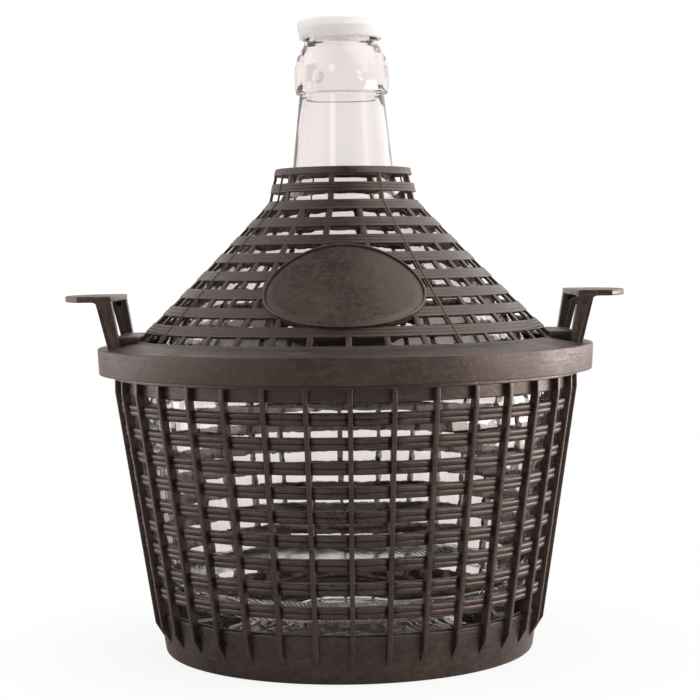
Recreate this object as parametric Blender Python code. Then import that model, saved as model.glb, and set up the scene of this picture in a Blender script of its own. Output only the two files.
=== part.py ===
"""Glass demijohn of about five litres in a two-part moulded plastic basket.

Six real pieces: the blown glass bottle, the press-on cap, the lower basket, the conical upper
cover, and two handles whose feet reach through the cover's collar and under the basket's rim.

Metres, +Z up. The origin is the middle of the underside of the basket. The oval plate of the
cover faces -Y and the handles stand at -X and +X. The sizes below are written in millimetres.
"""
import math

import bmesh
import bpy
from mathutils import Matrix, Vector, geometry

MM = 0.001
CLEARANCE = 0.3              # gap left between pieces that touch

# Lower basket
FLOOR_STEP = 1.5             # underside of the floor above the foot ring
FLOOR_THICKNESS = 2.5
FOOT_RING_WIDTH = 6.0
FOOT_ROUNDING = 3.0          # height and depth of the rounded lower edge
COVE = 6.0                   # sloping corner between the floor and the wall inside
SKIRT_HEIGHT = 24.5
BASKET_DRAFT = 0.1536        # outward lean of the wall, radius over height
WALL_THICKNESS = 3.3
RIB_COUNT = 36
RIB_WIDTH = 2.4
RIB_DEPTH = 3.4              # how far a rib stands out of the hoops
RIB_TURN = 1.0               # degrees between the front and the nearest rib
HOOP_COUNT = 9
HOOP_HEIGHT = 5.8
HOOP_GROOVE = 1.0            # depth of the groove that splits a hoop into two strands
HOOP_GAP_HIGH = 4.8          # opening between the rim band and the highest hoop
HOOP_GAP_LOW = 8.0           # opening between the skirt and the lowest hoop
RIB_FOOT = 9.0               # height at which a rib runs out on the skirt
RIB_TAPER = 7.0              # length over which it does
BAND_HEIGHT = 16.9           # solid band under the rim flange
RIM_ABOVE_BELLY = 34.9
RIM_LIP_DROP = 2.2           # lip over the ends of the ribs, seen under the cover's collar
RIM_LIP_HEIGHT = 3.5
RIM_LIP_PROUD = 0.4
RIM_FLANGE_THICKNESS = 2.6
RIM_FLANGE_WIDTH = 9.0

# Bottle, heights from its own seat
BASE_RADIUS = 76.0
BASE_RING_WIDTH = 7.0
PUNT_HEIGHT = 14.0
HEEL_RADIUS = 93.0
HEEL_HEIGHT = 26.0
BELLY_RADIUS = 105.0
BELLY_HEIGHT = 114.0
SHOULDER_RADIUS = 76.0
SHOULDER_RISE = 66.0         # above the belly
NECK_ROOT_RADIUS = 26.2
NECK_ROOT_RISE = 64.0        # above the shoulder
NECK_TOP_RADIUS = 22.2
NECK_LENGTH = 39.0
FINISH_RADIUS = 24.6         # bulging ring under the mouth
FINISH_HEIGHT = 20.0
LIP_RADIUS = 18.7
LIP_HEIGHT = 14.7            # mouth above the bulging ring
LIP_ROUNDING = 1.0
BORE_RADIUS = 14.6
GLASS_WALL = 3.0
GLASS_BASE = 5.0
BASKET_FIT = 3.0             # least gap between the glass and the basket's hoops

# Upper cover
COVER_THICKNESS = 2.0
TOP_RING_WIDTH = 6.5
TOP_RING_HEIGHT = 3.6
NECK_GAP = 2.0               # between the neck and the hole of the top ring
THROAT_HEIGHT = 17.5         # the steep part above the cone
THROAT_FLARE = 4.0
CONE_FOOT_RISE = 1.0         # last cone level above the collar's inner edge
CONE_FOOT_INSET = 2.0        # and how far inside that edge it is
CONE_SAG = 0.8               # hollow of the cone's side at its middle
COVER_ABOVE_ROOT = 1.0       # top of the cover above the root of the neck
ROW_COUNT = 10
ROW_OPENING = 0.485          # open share of one row
COARSE_ROWS = 5              # the upper rows have half as many ribs
WIDE_ROWS = 2                # and the top rows a quarter
COVER_RIB_WIDTH = 3.0
COLLAR_LEDGE = 17.5          # sloping top of the collar, measured along the radius
COLLAR_FALL = 3.1
COLLAR_HEIGHT = 13.1
COLLAR_DRAFT = 1.0
COLLAR_ROUNDING = 1.0

# Oval plate on the front of the cone
PLATE_WIDTH = 79.0
PLATE_HEIGHT = 56.0
PLATE_PROUD = 1.0
PLATE_RIM = 0.7
PLATE_RIM_WIDTH = 1.8
PLATE_LIFT = 1.1             # above the middle of the rows it covers
PLATE_ROWS = (4, 9)          # the plate lies between these rows
PLATE_SIDES = 32

# Handles
LEG_SPREAD = 71.0            # over both legs
LEG_DEPTH = 6.5
LEG_WIDTH = 6.2
LEG_WALL = 2.0
LEG_TOP_WIDTH = 8.2
LEG_LEAN = 4.0
LIP_WIDTH = 2.2
LIP_SETBACK = 1.2
HANDLE_RISE = 27.2           # top of the grip over the collar's outer edge
GRIP_THICKNESS = 3.0
GRIP_REACH = 27.4
GRIP_END_REACH = 17.1
FILLET = 4.0
FOOT_HEIGHT = 3.2
FOOT_HOOK = 1.1
PAD_HALF_LENGTH = 28.0           # between the two legs
PAD_RISE = 3.4
PAD_REACH = 8.0
PAD_ROUNDING = 2.0
SLOT_INBOARD = 2.6           # the collar's slots run further in than the legs
LEG_TO_WALL = 0.6            # between a leg and the basket's wall
NUB_REACH = 4.2
NUB_HEIGHT = 5.5

# Cap
CAP_TOP_RADIUS = 22.5
CAP_SKIRT_WALL = 2.4
CAP_SKIRT_HEIGHT = 6.2
CAP_TOP_THICKNESS = 3.6
CAP_ROUNDING = 1.4
PLUG_LENGTH = 9.0
PLUG_WALL = 1.6

# Round pieces are turned in this many flats
GLASS_SEGMENTS = 24
CAP_SEGMENTS = 24
GRIP_STEPS = 6

OVERLAP = 0.5                # how far the parts of one moulding reach into each other
REACH = 25.0                 # how far a cutter runs past what it cuts

SEAT = FLOOR_STEP + FLOOR_THICKNESS + CLEARANCE
SHOULDER_HEIGHT = BELLY_HEIGHT + SHOULDER_RISE
NECK_ROOT_HEIGHT = SHOULDER_HEIGHT + NECK_ROOT_RISE
NECK_TOP_HEIGHT = NECK_ROOT_HEIGHT + NECK_LENGTH
RING_TOP_HEIGHT = NECK_TOP_HEIGHT + FINISH_HEIGHT
MOUTH_HEIGHT = RING_TOP_HEIGHT + LIP_HEIGHT
BAND_TOP = SEAT + BELLY_HEIGHT + RIM_ABOVE_BELLY        # underside of the rim flange
BAND_BOTTOM = BAND_TOP - BAND_HEIGHT


def curve(start, handle_a, handle_b, end, steps):
    """Points of a Bezier stretch in the (radius, height) plane, without its first point."""
    points = geometry.interpolate_bezier(
        Vector((*start, 0.0)), Vector((*handle_a, 0.0)),
        Vector((*handle_b, 0.0)), Vector((*end, 0.0)), steps + 1)
    return [(p.x, p.y) for p in points[1:]]


def offset_inward(profile, distance):
    """The profile moved towards the axis, square to its own run."""
    moved = []
    for index, (radius, height) in enumerate(profile):
        before = profile[max(index - 1, 0)]
        after = profile[min(index + 1, len(profile) - 1)]
        run = Vector((after[0] - before[0], after[1] - before[1])).normalized()
        moved.append((radius - run.y * distance, height + run.x * distance))
    return moved


def glass_outline():
    """Outer run of the bottle from its standing ring to the top of the mouth."""
    base = (BASE_RADIUS, 0.0)
    heel = (HEEL_RADIUS, HEEL_HEIGHT)
    belly = (BELLY_RADIUS, BELLY_HEIGHT)
    shoulder = (SHOULDER_RADIUS, SHOULDER_HEIGHT)
    root = (NECK_ROOT_RADIUS, NECK_ROOT_HEIGHT)
    top = (NECK_TOP_RADIUS, NECK_TOP_HEIGHT)
    slope = Vector((root[0] - belly[0], root[1] - belly[1])).normalized()
    heel_reach = HEEL_RADIUS - BASE_RADIUS
    rise = BELLY_HEIGHT - HEEL_HEIGHT
    drop = SHOULDER_HEIGHT - BELLY_HEIGHT
    climb = NECK_ROOT_HEIGHT - SHOULDER_HEIGHT
    points = [base]
    points += curve(base, (base[0] + 0.7 * heel_reach, 0.0),
                    (heel[0] - 0.2 * heel_reach, 0.55 * heel[1]), heel, 3)
    points += curve(heel, (heel[0] + 0.25 * heel_reach, heel[1] + 0.35 * rise),
                    (belly[0], belly[1] - 0.4 * rise), belly, 3)
    points += curve(belly, (belly[0], belly[1] + 0.55 * drop),
                    (shoulder[0] - slope.x * 0.3 * drop, shoulder[1] - slope.y * 0.3 * drop),
                    shoulder, 3)
    points += curve(shoulder, (shoulder[0] + slope.x * 0.5 * climb,
                               shoulder[1] + slope.y * 0.5 * climb),
                    (root[0] + 2.0, root[1] - 0.3 * climb), root, 3)
    bulge = FINISH_RADIUS - NECK_TOP_RADIUS
    lip_low = MOUTH_HEIGHT - CAP_SKIRT_HEIGHT - OVERLAP
    points += [top, (NECK_TOP_RADIUS + 0.8 * bulge, NECK_TOP_HEIGHT + 1.4)]
    points += [(FINISH_RADIUS, NECK_TOP_HEIGHT + 0.3 * FINISH_HEIGHT)]
    points += [(FINISH_RADIUS, NECK_TOP_HEIGHT + 0.65 * FINISH_HEIGHT)]
    points += [(0.65 * FINISH_RADIUS + 0.35 * LIP_RADIUS, RING_TOP_HEIGHT)]
    points += [(LIP_RADIUS, lip_low), (LIP_RADIUS, MOUTH_HEIGHT - LIP_ROUNDING)]
    points += [(LIP_RADIUS - LIP_ROUNDING, MOUTH_HEIGHT)]
    return [(radius, height + SEAT) for radius, height in points]


GLASS = glass_outline()
BORE_AT_FLOOR = max(radius + BASKET_FIT - BASKET_DRAFT * height
                    for radius, height in GLASS if height < BAND_BOTTOM)


def bore(height):
    """Inner radius of the basket. The wall stands upright from the band upwards."""
    return BORE_AT_FLOOR + BASKET_DRAFT * min(height, BAND_BOTTOM)


def hoop_face(height):
    return bore(height) + WALL_THICKNESS


def rib_face(height):
    return hoop_face(height) + RIB_DEPTH


FLANGE_RADIUS = hoop_face(BAND_TOP) + RIM_FLANGE_WIDTH
COLLAR_BORE = (FLANGE_RADIUS + CLEARANCE) / math.cos(math.pi / RIB_COUNT)
COLLAR_RADIUS = COLLAR_BORE + COVER_THICKNESS
COLLAR_EDGE = BAND_TOP + RIM_FLANGE_THICKNESS + CLEARANCE + COVER_THICKNESS
FOOT_RADIUS = COLLAR_RADIUS - COLLAR_ROUNDING - COLLAR_LEDGE
FOOT_LEVEL = COLLAR_EDGE + COLLAR_FALL
CONE_BOTTOM = FOOT_LEVEL + CONE_FOOT_RISE
COVER_TOP = SEAT + NECK_ROOT_HEIGHT + COVER_ABOVE_ROOT
RING_BORE = (NECK_ROOT_RADIUS + NECK_GAP) / math.cos(2 * math.pi / RIB_COUNT)
RING_RADIUS = RING_BORE + TOP_RING_WIDTH


def rib_angle(index, count):
    """Angle of one rib about +Z. The ribs are counted from the front, which is -Y."""
    return math.radians(RIB_TURN - 90.0) + 2 * math.pi * index / count


def polar(angle, radius, height, shift=0.0):
    """A point at a radius, moved sideways by shift and kept at that radius."""
    along = math.sqrt(radius * radius - shift * shift)
    x = along * math.cos(angle) - shift * math.sin(angle)
    y = along * math.sin(angle) + shift * math.cos(angle)
    return Vector((x, y, height)) * MM


class Surface:
    """Collects shared points and faces, and turns them into one closed object."""

    def __init__(self):
        self.bm = bmesh.new()
        self.points = {}

    def point(self, place):
        key = tuple(round(value / MM, 3) for value in place)
        if key not in self.points:
            self.points[key] = self.bm.verts.new(place)
        return self.points[key]

    def face(self, places):
        corners = []
        for place in places:
            vertex = self.point(place)
            if vertex not in corners:
                corners.append(vertex)
        self.bm.faces.new(corners)

    def finish(self, name, material, smooth_angle=30.0):
        bmesh.ops.recalc_face_normals(self.bm, faces=self.bm.faces)
        mesh = bpy.data.meshes.new(name)
        self.bm.to_mesh(mesh)
        self.bm.free()
        mesh.shade_smooth()
        mesh.set_sharp_from_angle(angle=math.radians(smooth_angle))
        thing = bpy.data.objects.new(name, mesh)
        bpy.context.collection.objects.link(thing)
        if material:
            mesh.materials.append(material)
        return thing


def turned(name, profile, segments, material, closed=False):
    """Turns a profile round +Z. An open profile starts and ends on the axis."""
    surface = Surface()
    runs = list(zip(profile, profile[1:]))
    if closed:
        runs.append((profile[-1], profile[0]))
    for step in range(segments):
        a = 2 * math.pi * step / segments
        b = 2 * math.pi * (step + 1) / segments
        for (r0, z0), (r1, z1) in runs:
            surface.face([polar(a, r0, z0), polar(b, r0, z0), polar(b, r1, z1), polar(a, r1, z1)])
    return surface.finish(name, material)


def prism(surface, outline, place_near, place_far):
    """Adds the closed prism between two placings of one flat outline."""
    near = [place_near(point) for point in outline]
    far = [place_far(point) for point in outline]
    surface.face(near)
    surface.face(far)
    count = len(outline)
    for index in range(count):
        after = (index + 1) % count
        surface.face([near[index], near[after], far[after], far[index]])


def guide(thing):
    """Marks a helper that only shapes another piece."""
    thing.hide_render = True
    thing.display_type = "WIRE"
    return thing


def boolean(target, operand, operation):
    modifier = target.modifiers.new(operation.title(), "BOOLEAN")
    modifier.object = guide(operand)
    modifier.operation = operation
    modifier.solver = "EXACT"
    return target


def plastic(name, colour, roughness, transmission=0.0, ior=1.5):
    material = bpy.data.materials.new(name)
    material.use_nodes = True
    shader = material.node_tree.nodes["Principled BSDF"]
    shader.inputs["Base Color"].default_value = (*colour, 1.0)
    shader.inputs["Roughness"].default_value = roughness
    shader.inputs["Metallic"].default_value = 0.0
    shader.inputs["Transmission Weight"].default_value = transmission
    shader.inputs["IOR"].default_value = ior
    return material


def hoop_levels():
    """Bottom and top height of every hoop, from the lowest up."""
    lowest = SKIRT_HEIGHT + HOOP_GAP_LOW
    highest = BAND_BOTTOM - HOOP_GAP_HIGH - HOOP_HEIGHT
    pitch = (highest - lowest) / (HOOP_COUNT - 1)
    bottoms = [lowest + pitch * index for index in range(HOOP_COUNT)]
    return [(bottom, bottom + HOOP_HEIGHT) for bottom in bottoms]


def lower_basket(material):
    """Floor, skirt, hoops, ribs, solid band and rim flange as one moulding.

    A rib is a wedge from the bore out to the face of the hoops and a straight fin beyond it,
    so each rib has one line of points on the bore and two outside.
    """
    surface = Surface()
    hoops = hoop_levels()
    floor_top = FLOOR_STEP + FLOOR_THICKNESS
    edge = FOOT_ROUNDING
    foot_outer = hoop_face(edge) - FOOT_ROUNDING
    foot_inner = foot_outer - FOOT_RING_WIDTH
    edge_middle = (foot_outer + edge * math.sin(math.pi / 4), edge * (1 - math.cos(math.pi / 4)))
    rib_foot = (hoop_face(RIB_FOOT), RIB_FOOT)
    cove_top = floor_top + COVE
    cove_foot = (bore(cove_top) - COVE, floor_top)
    lip_low = COLLAR_EDGE - COLLAR_HEIGHT - RIM_LIP_DROP
    lip_high = lip_low + RIM_LIP_HEIGHT
    lip_radius = rib_face(lip_low) + RIM_LIP_PROUD
    flange_top_inner = BAND_TOP + RIM_FLANGE_THICKNESS + COLLAR_FALL * (
        (FLANGE_RADIUS - bore(BAND_TOP)) / COLLAR_LEDGE)
    half = RIB_WIDTH / 2

    for index in range(RIB_COUNT):
        here = rib_angle(index, RIB_COUNT)
        there = rib_angle(index + 1, RIB_COUNT)

        def mid(radius, height, angle=here):
            return polar(angle, radius, height)

        def left(radius, height, angle=here):
            return polar(angle, radius, height, -half)

        def right(radius, height, angle=here):
            return polar(angle, radius, height, half)

        def bay(lower, upper, one_line=False):
            """A face of the wall between this rib and the next."""
            first, second = (mid, mid) if one_line else (right, left)
            surface.face([first(*lower), second(*lower, there), second(*upper, there), first(*upper)])

        # Foot ring and its rounding, with one line of points per rib
        wall_foot = (hoop_face(edge), edge)
        rings = [(foot_inner, FLOOR_STEP), (foot_inner, 0.0), (foot_outer, 0.0), edge_middle, wall_foot]
        for lower, upper in zip(rings, rings[1:]):
            bay(lower, upper, one_line=True)
        surface.face([mid(*wall_foot), left(*rib_foot), right(*rib_foot)])
        surface.face([mid(*wall_foot), right(*rib_foot), left(*rib_foot, there), mid(*wall_foot, there)])

        # Outer face and ledge of the skirt, and the cove inside it
        skirt_top = (hoop_face(SKIRT_HEIGHT), SKIRT_HEIGHT)
        bay(rib_foot, skirt_top)
        inner_top = (bore(SKIRT_HEIGHT), SKIRT_HEIGHT)
        surface.face([right(*skirt_top), left(*skirt_top, there), mid(*inner_top, there), mid(*inner_top)])
        inner = [inner_top, (bore(cove_top), cove_top), cove_foot]
        for upper, lower in zip(inner, inner[1:]):
            bay(lower, upper, one_line=True)

        # Hoops
        for bottom, top in hoops:
            groove = (bottom + top) / 2
            face_low = (hoop_face(bottom), bottom)
            face_mid = (hoop_face(groove) - HOOP_GROOVE, groove)
            face_top = (hoop_face(top), top)
            bay(face_low, face_mid)
            bay(face_mid, face_top)
            bay((bore(bottom), bottom), (bore(top), top), one_line=True)
            for level, face in ((bottom, face_low), (top, face_top)):
                surface.face([right(*face), left(*face, there),
                              mid(bore(level), level, there), mid(bore(level), level)])

        # Solid band, the lip over the ends of the ribs, and the rim flange
        band_low = (hoop_face(BAND_BOTTOM), BAND_BOTTOM)
        band_high = (hoop_face(lip_low), lip_low)
        rib_high = (rib_face(lip_low), lip_low)
        bore_low = (bore(BAND_BOTTOM), BAND_BOTTOM)
        rim = [(lip_radius, lip_low), (lip_radius, lip_high), (hoop_face(lip_high), lip_high),
               (hoop_face(BAND_TOP), BAND_TOP), (FLANGE_RADIUS, BAND_TOP),
               (FLANGE_RADIUS, BAND_TOP + RIM_FLANGE_THICKNESS), (bore(BAND_TOP), flange_top_inner), bore_low]
        bay(band_low, band_high)
        bay(band_high, rib_high)
        surface.face([mid(*rim[0]), left(*rib_high), right(*rib_high)])
        surface.face([mid(*rim[0]), right(*rib_high), left(*rib_high, there), mid(*rim[0], there)])
        for lower, upper in zip(rim, rim[1:]):
            bay(lower, upper, one_line=True)
        surface.face([right(*band_low), left(*band_low, there),
                      mid(*bore_low, there), mid(*bore_low)])

        # The rib: a fin outside the hoops, and a wedge across each opening
        toe = RIB_FOOT + RIB_TAPER
        fin = [rib_foot, (rib_face(toe), toe), (rib_face(BAND_BOTTOM), BAND_BOTTOM), rib_high]
        root = [rib_foot, skirt_top]
        openings = []
        below = SKIRT_HEIGHT
        for bottom, top in hoops:
            groove = (bottom + top) / 2
            root += [(hoop_face(bottom), bottom), (hoop_face(groove) - HOOP_GROOVE, groove),
                     (hoop_face(top), top)]
            openings.append((below, bottom))
            below = top
        openings.append((below, BAND_BOTTOM))
        root += [band_low, band_high]
        for side in (left, right):
            surface.face([side(*point) for point in fin] + [side(*point) for point in reversed(root[1:])])
            for low, high in openings:
                surface.face([side(hoop_face(low), low), side(hoop_face(high), high),
                              mid(bore(high), high), mid(bore(low), low)])
        for lower, upper in zip(fin, fin[1:]):
            surface.face([left(*lower), right(*lower), right(*upper), left(*upper)])

    angles = [rib_angle(index, RIB_COUNT) for index in range(RIB_COUNT)]
    surface.face([polar(angle, foot_inner, FLOOR_STEP) for angle in angles])
    surface.face([polar(angle, *cove_foot) for angle in angles])
    basket = surface.finish("lower_basket", material)
    boolean(basket, leg_cutters("rim_notches", through_edge=True), "DIFFERENCE")
    return basket


def cone_radius(height):
    """Outer radius of the cover between its collar and its top ring."""
    kink_height = COVER_TOP - THROAT_HEIGHT
    kink_radius = RING_RADIUS + THROAT_FLARE
    if height >= kink_height:
        return RING_RADIUS + THROAT_FLARE * (COVER_TOP - height) / THROAT_HEIGHT
    share = (kink_height - height) / (kink_height - CONE_BOTTOM)
    sag = 4 * CONE_SAG * share * (1 - share)
    return kink_radius + (FOOT_RADIUS - CONE_FOOT_INSET - kink_radius) * share - sag


def cone_shell(height, distance):
    """The point that lies outside (or, when negative, inside) the cone's face at one height."""
    step = 0.5
    run = Vector((cone_radius(height + step) - cone_radius(height - step), 2 * step)).normalized()
    return cone_radius(height) + run.y * distance, height - run.x * distance


def row_levels():
    """Top and bottom height of each row of openings, from the top down."""
    first = COVER_TOP - TOP_RING_HEIGHT
    pitch = (first - CONE_BOTTOM) / (ROW_COUNT - 1 + ROW_OPENING)
    return [(first - pitch * row, first - pitch * (row + ROW_OPENING)) for row in range(ROW_COUNT)]


def row_angle(index, count):
    """Angle of one rib of the cover. The coarse rows keep every second rib of the fine ones."""
    if count == RIB_COUNT:
        return rib_angle(index, RIB_COUNT)
    return rib_angle(2 * index + 1, RIB_COUNT)


def upper_cover(material):
    """Top ring, rows of openings and collar as one moulding, then its plate, pads and slots.

    The outside has two lines of points per rib and the inside one, as on the basket.
    """
    surface = Surface()
    half = COVER_RIB_WIDTH / 2
    rows = row_levels()

    def outer(height, angle, side):
        radius, level = cone_shell(height, 0.0)
        return polar(angle, radius, level, side * half)

    def inner(height, angle):
        radius, level = cone_shell(height, -COVER_THICKNESS)
        return polar(angle, radius, level)

    def has_rib(row, index):
        return row >= WIDE_ROWS or index % 2 == 1

    def opening(top, bottom, count, row):
        """Ribs of one row and the upper and lower walls of its windows."""
        for index in range(count):
            here, there = row_angle(index, count), row_angle(index + 1, count)
            for level in (top, bottom):
                surface.face([outer(level, here, 1), outer(level, there, -1),
                              inner(level, there), inner(level, here)])
            if has_rib(row, index):
                surface.face([outer(top, here, -1), outer(top, here, 1),
                              outer(bottom, here, 1), outer(bottom, here, -1)])
                for side in (-1, 1):
                    surface.face([outer(top, here, side), inner(top, here),
                                  inner(bottom, here), outer(bottom, here, side)])
            else:
                for level in (top, bottom):
                    surface.face([outer(level, here, -1), outer(level, here, 1), inner(level, here)])

    def band(top, bottom, count, finer):
        """Both faces of the plastic between two rows."""
        split = 2 if finer else 1
        for index in range(count):
            here, there = row_angle(index, count), row_angle(index + 1, count)
            middle = (here + there) / 2
            surface.face([outer(top, here, -1), outer(top, here, 1),
                          outer(bottom, here, 1), outer(bottom, here, -1)])
            low_outer = [outer(bottom, there, -1), outer(bottom, here, 1)]
            low_inner = [inner(bottom, there), inner(bottom, here)]
            if split == 2:
                low_outer[1:1] = [outer(bottom, middle, 1), outer(bottom, middle, -1)]
                low_inner[1:1] = [inner(bottom, middle)]
            surface.face([outer(top, here, 1), outer(top, there, -1)] + low_outer)
            surface.face([inner(top, here), inner(top, there)] + low_inner)

    for row, (top, bottom) in enumerate(rows):
        count = RIB_COUNT // 2 if row < COARSE_ROWS else RIB_COUNT
        opening(top, bottom, count, row)
        if row < ROW_COUNT - 1:
            band(bottom, rows[row + 1][0], count, row == COARSE_ROWS - 1)

    # Top ring
    first = rows[0][0]
    count = RIB_COUNT // 2
    ring_low = COVER_TOP - COVER_THICKNESS
    for index in range(count):
        here, there = row_angle(index, count), row_angle(index + 1, count)
        rim = [polar(here, RING_RADIUS, COVER_TOP, side * half) for side in (-1, 1)]
        rim_next = polar(there, RING_RADIUS, COVER_TOP, -half)
        hole = [polar(angle, RING_BORE, COVER_TOP) for angle in (here, there)]
        hole_low = [polar(angle, RING_BORE, ring_low) for angle in (here, there)]
        surface.face([rim[0], rim[1], outer(first, here, 1), outer(first, here, -1)])
        surface.face([rim[1], rim_next, outer(first, there, -1), outer(first, here, 1)])
        surface.face([rim[0], rim[1], hole[0]])
        surface.face([rim[1], rim_next, hole[1], hole[0]])
        surface.face([hole[0], hole[1], hole_low[1], hole_low[0]])
        surface.face([hole_low[0], hole_low[1], inner(first, there), inner(first, here)])

    # Collar, with one line of points per rib
    last = rows[-1][1]
    collar_low = COLLAR_EDGE - COLLAR_HEIGHT
    outside = [(FOOT_RADIUS, FOOT_LEVEL), (COLLAR_RADIUS - COLLAR_ROUNDING, COLLAR_EDGE),
               (COLLAR_RADIUS, COLLAR_EDGE - COLLAR_ROUNDING),
               (COLLAR_RADIUS - COLLAR_DRAFT, collar_low),
               (COLLAR_BORE, collar_low),
               (COLLAR_BORE, COLLAR_EDGE - COVER_THICKNESS),
               (FOOT_RADIUS - 1.0, FOOT_LEVEL - COVER_THICKNESS)]
    for index in range(RIB_COUNT):
        here, there = rib_angle(index, RIB_COUNT), rib_angle(index + 1, RIB_COUNT)
        foot = polar(here, *outside[0])
        foot_next = polar(there, *outside[0])
        surface.face([outer(last, here, -1), outer(last, here, 1), foot])
        surface.face([outer(last, here, 1), outer(last, there, -1), foot_next, foot])
        for (r0, z0), (r1, z1) in zip(outside, outside[1:]):
            surface.face([polar(here, r0, z0), polar(there, r0, z0),
                          polar(there, r1, z1), polar(here, r1, z1)])
        low, low_next = polar(here, *outside[-1]), polar(there, *outside[-1])
        surface.face([low, low_next, inner(last, there), inner(last, here)])

    cover = surface.finish("upper_cover", material)
    boolean(cover, handle_pads(), "UNION")
    boolean(cover, oval_patch("plate_blank", PLATE_WIDTH, PLATE_HEIGHT,
                              -COVER_THICKNESS - CLEARANCE, PLATE_PROUD + PLATE_RIM), "UNION")
    margin = 2 * PLATE_RIM_WIDTH
    boolean(cover, oval_patch("plate_recess", PLATE_WIDTH - margin, PLATE_HEIGHT - margin,
                              PLATE_PROUD, REACH / 2), "DIFFERENCE")
    boolean(cover, leg_cutters("collar_slots", through_edge=False), "DIFFERENCE")
    return cover


def plate_middle():
    """Height on the cone at which the oval plate is centred."""
    rows = row_levels()
    upper, lower = PLATE_ROWS
    return (rows[upper][1] + rows[lower][0]) / 2 + PLATE_LIFT


def oval_patch(name, width, height, inside, outside):
    """A piece of the cone's shell within an oval, between two distances from its face."""
    centre = plate_middle()
    reach = height / 2
    levels = [centre + reach, centre, centre - reach]
    section = [cone_shell(level, outside) for level in levels]
    section += [cone_shell(level, inside) for level in reversed(levels)]
    shell = turned(name, section, 2 * RIB_COUNT, None, closed=True)
    run = Vector((cone_radius(centre + reach / 2) - cone_radius(centre - reach / 2), reach))
    run.normalize()
    along = Vector((0.0, -run.x, run.y))
    normal = Vector((0.0, -run.y, -run.x))
    middle = Vector((0.0, -cone_radius(centre), centre))
    outline = [(width / 2 * math.cos(turn), height / 2 * math.sin(turn))
               for turn in (math.pi * (2 * step + 1) / PLATE_SIDES for step in range(PLATE_SIDES))]
    surface = Surface()

    def placed(distance):
        return lambda point: (middle + Vector((point[0], 0, 0)) + along * point[1]
                              + normal * distance) * MM

    prism(surface, outline, placed(-REACH), placed(REACH))
    cutter = surface.finish(name + "_oval", None)
    return boolean(shell, cutter, "INTERSECT")


LEG_INNER = math.sqrt((hoop_face(BAND_TOP) + LEG_TO_WALL) ** 2 - (LEG_SPREAD / 2 - LEG_DEPTH) ** 2)
LEG_OUTER = LEG_INNER + LEG_WIDTH
BEND_HEIGHT = COLLAR_EDGE + 1.0
GRIP_TOP = COLLAR_EDGE + HANDLE_RISE
GRIP_BOTTOM = GRIP_TOP - GRIP_THICKNESS
FOOT_TOP = BAND_TOP - CLEARANCE
FOOT_BOTTOM = FOOT_TOP - FOOT_HEIGHT


def leg_line(height, inner_edge):
    """Place along X of the inner or outer edge of a leg, upright below the bend."""
    share = max(height - BEND_HEIGHT, 0.0) / (GRIP_BOTTOM - BEND_HEIGHT)
    if inner_edge:
        return LEG_INNER + LEG_LEAN * share
    return LEG_OUTER + (LEG_LEAN + LEG_TOP_WIDTH - LEG_WIDTH) * share


def leg_cutters(name, through_edge):
    """Four openings round the legs, for the collar or for the basket's rim."""
    surface = Surface()
    inboard = CLEARANCE if through_edge else SLOT_INBOARD
    low = BAND_TOP - 2.0 if through_edge else BAND_TOP + RIM_FLANGE_THICKNESS - 1.0
    high = COLLAR_EDGE + REACH / 2
    outboard = RIM_FLANGE_WIDTH if through_edge else CLEARANCE
    outline = [(leg_line(height, True) - inboard, height) for height in (low, BEND_HEIGHT, high)]
    outline += [(leg_line(height, False) + outboard, height) for height in (high, BEND_HEIGHT, low)]
    near = LEG_SPREAD / 2 - LEG_DEPTH - CLEARANCE
    far = LEG_SPREAD / 2 + CLEARANCE
    for side in (-1, 1):
        for end in (-1, 1):
            prism(surface, outline,
                  lambda point: Vector((side * point[0], end * near, point[1])) * MM,
                  lambda point: Vector((side * point[0], end * far, point[1])) * MM)
    return surface.finish(name, None)


def handle_pads():
    """Raised landings of the collar where the handles stand."""
    surface = Surface()
    top = FOOT_LEVEL + PAD_RISE
    root = cone_radius(top) - COVER_THICKNESS + OVERLAP
    reach = FOOT_RADIUS + PAD_REACH
    outline = [(root, top), (reach - PAD_ROUNDING, top), (reach, top - PAD_ROUNDING),
               (reach + PAD_ROUNDING / 2, COLLAR_EDGE - CLEARANCE),
               (root, FOOT_LEVEL - OVERLAP)]
    for side in (-1, 1):
        prism(surface, outline,
              lambda point: Vector((side * point[0], -PAD_HALF_LENGTH, point[1])) * MM,
              lambda point: Vector((side * point[0], PAD_HALF_LENGTH, point[1])) * MM)
    return surface.finish("handle_pads", None)


def slab(surface, outline, low, high):
    """A prism between two places along Y."""
    prism(surface, outline,
          lambda point: Vector((point[0], low, point[1])) * MM,
          lambda point: Vector((point[0], high, point[1])) * MM)


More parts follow.
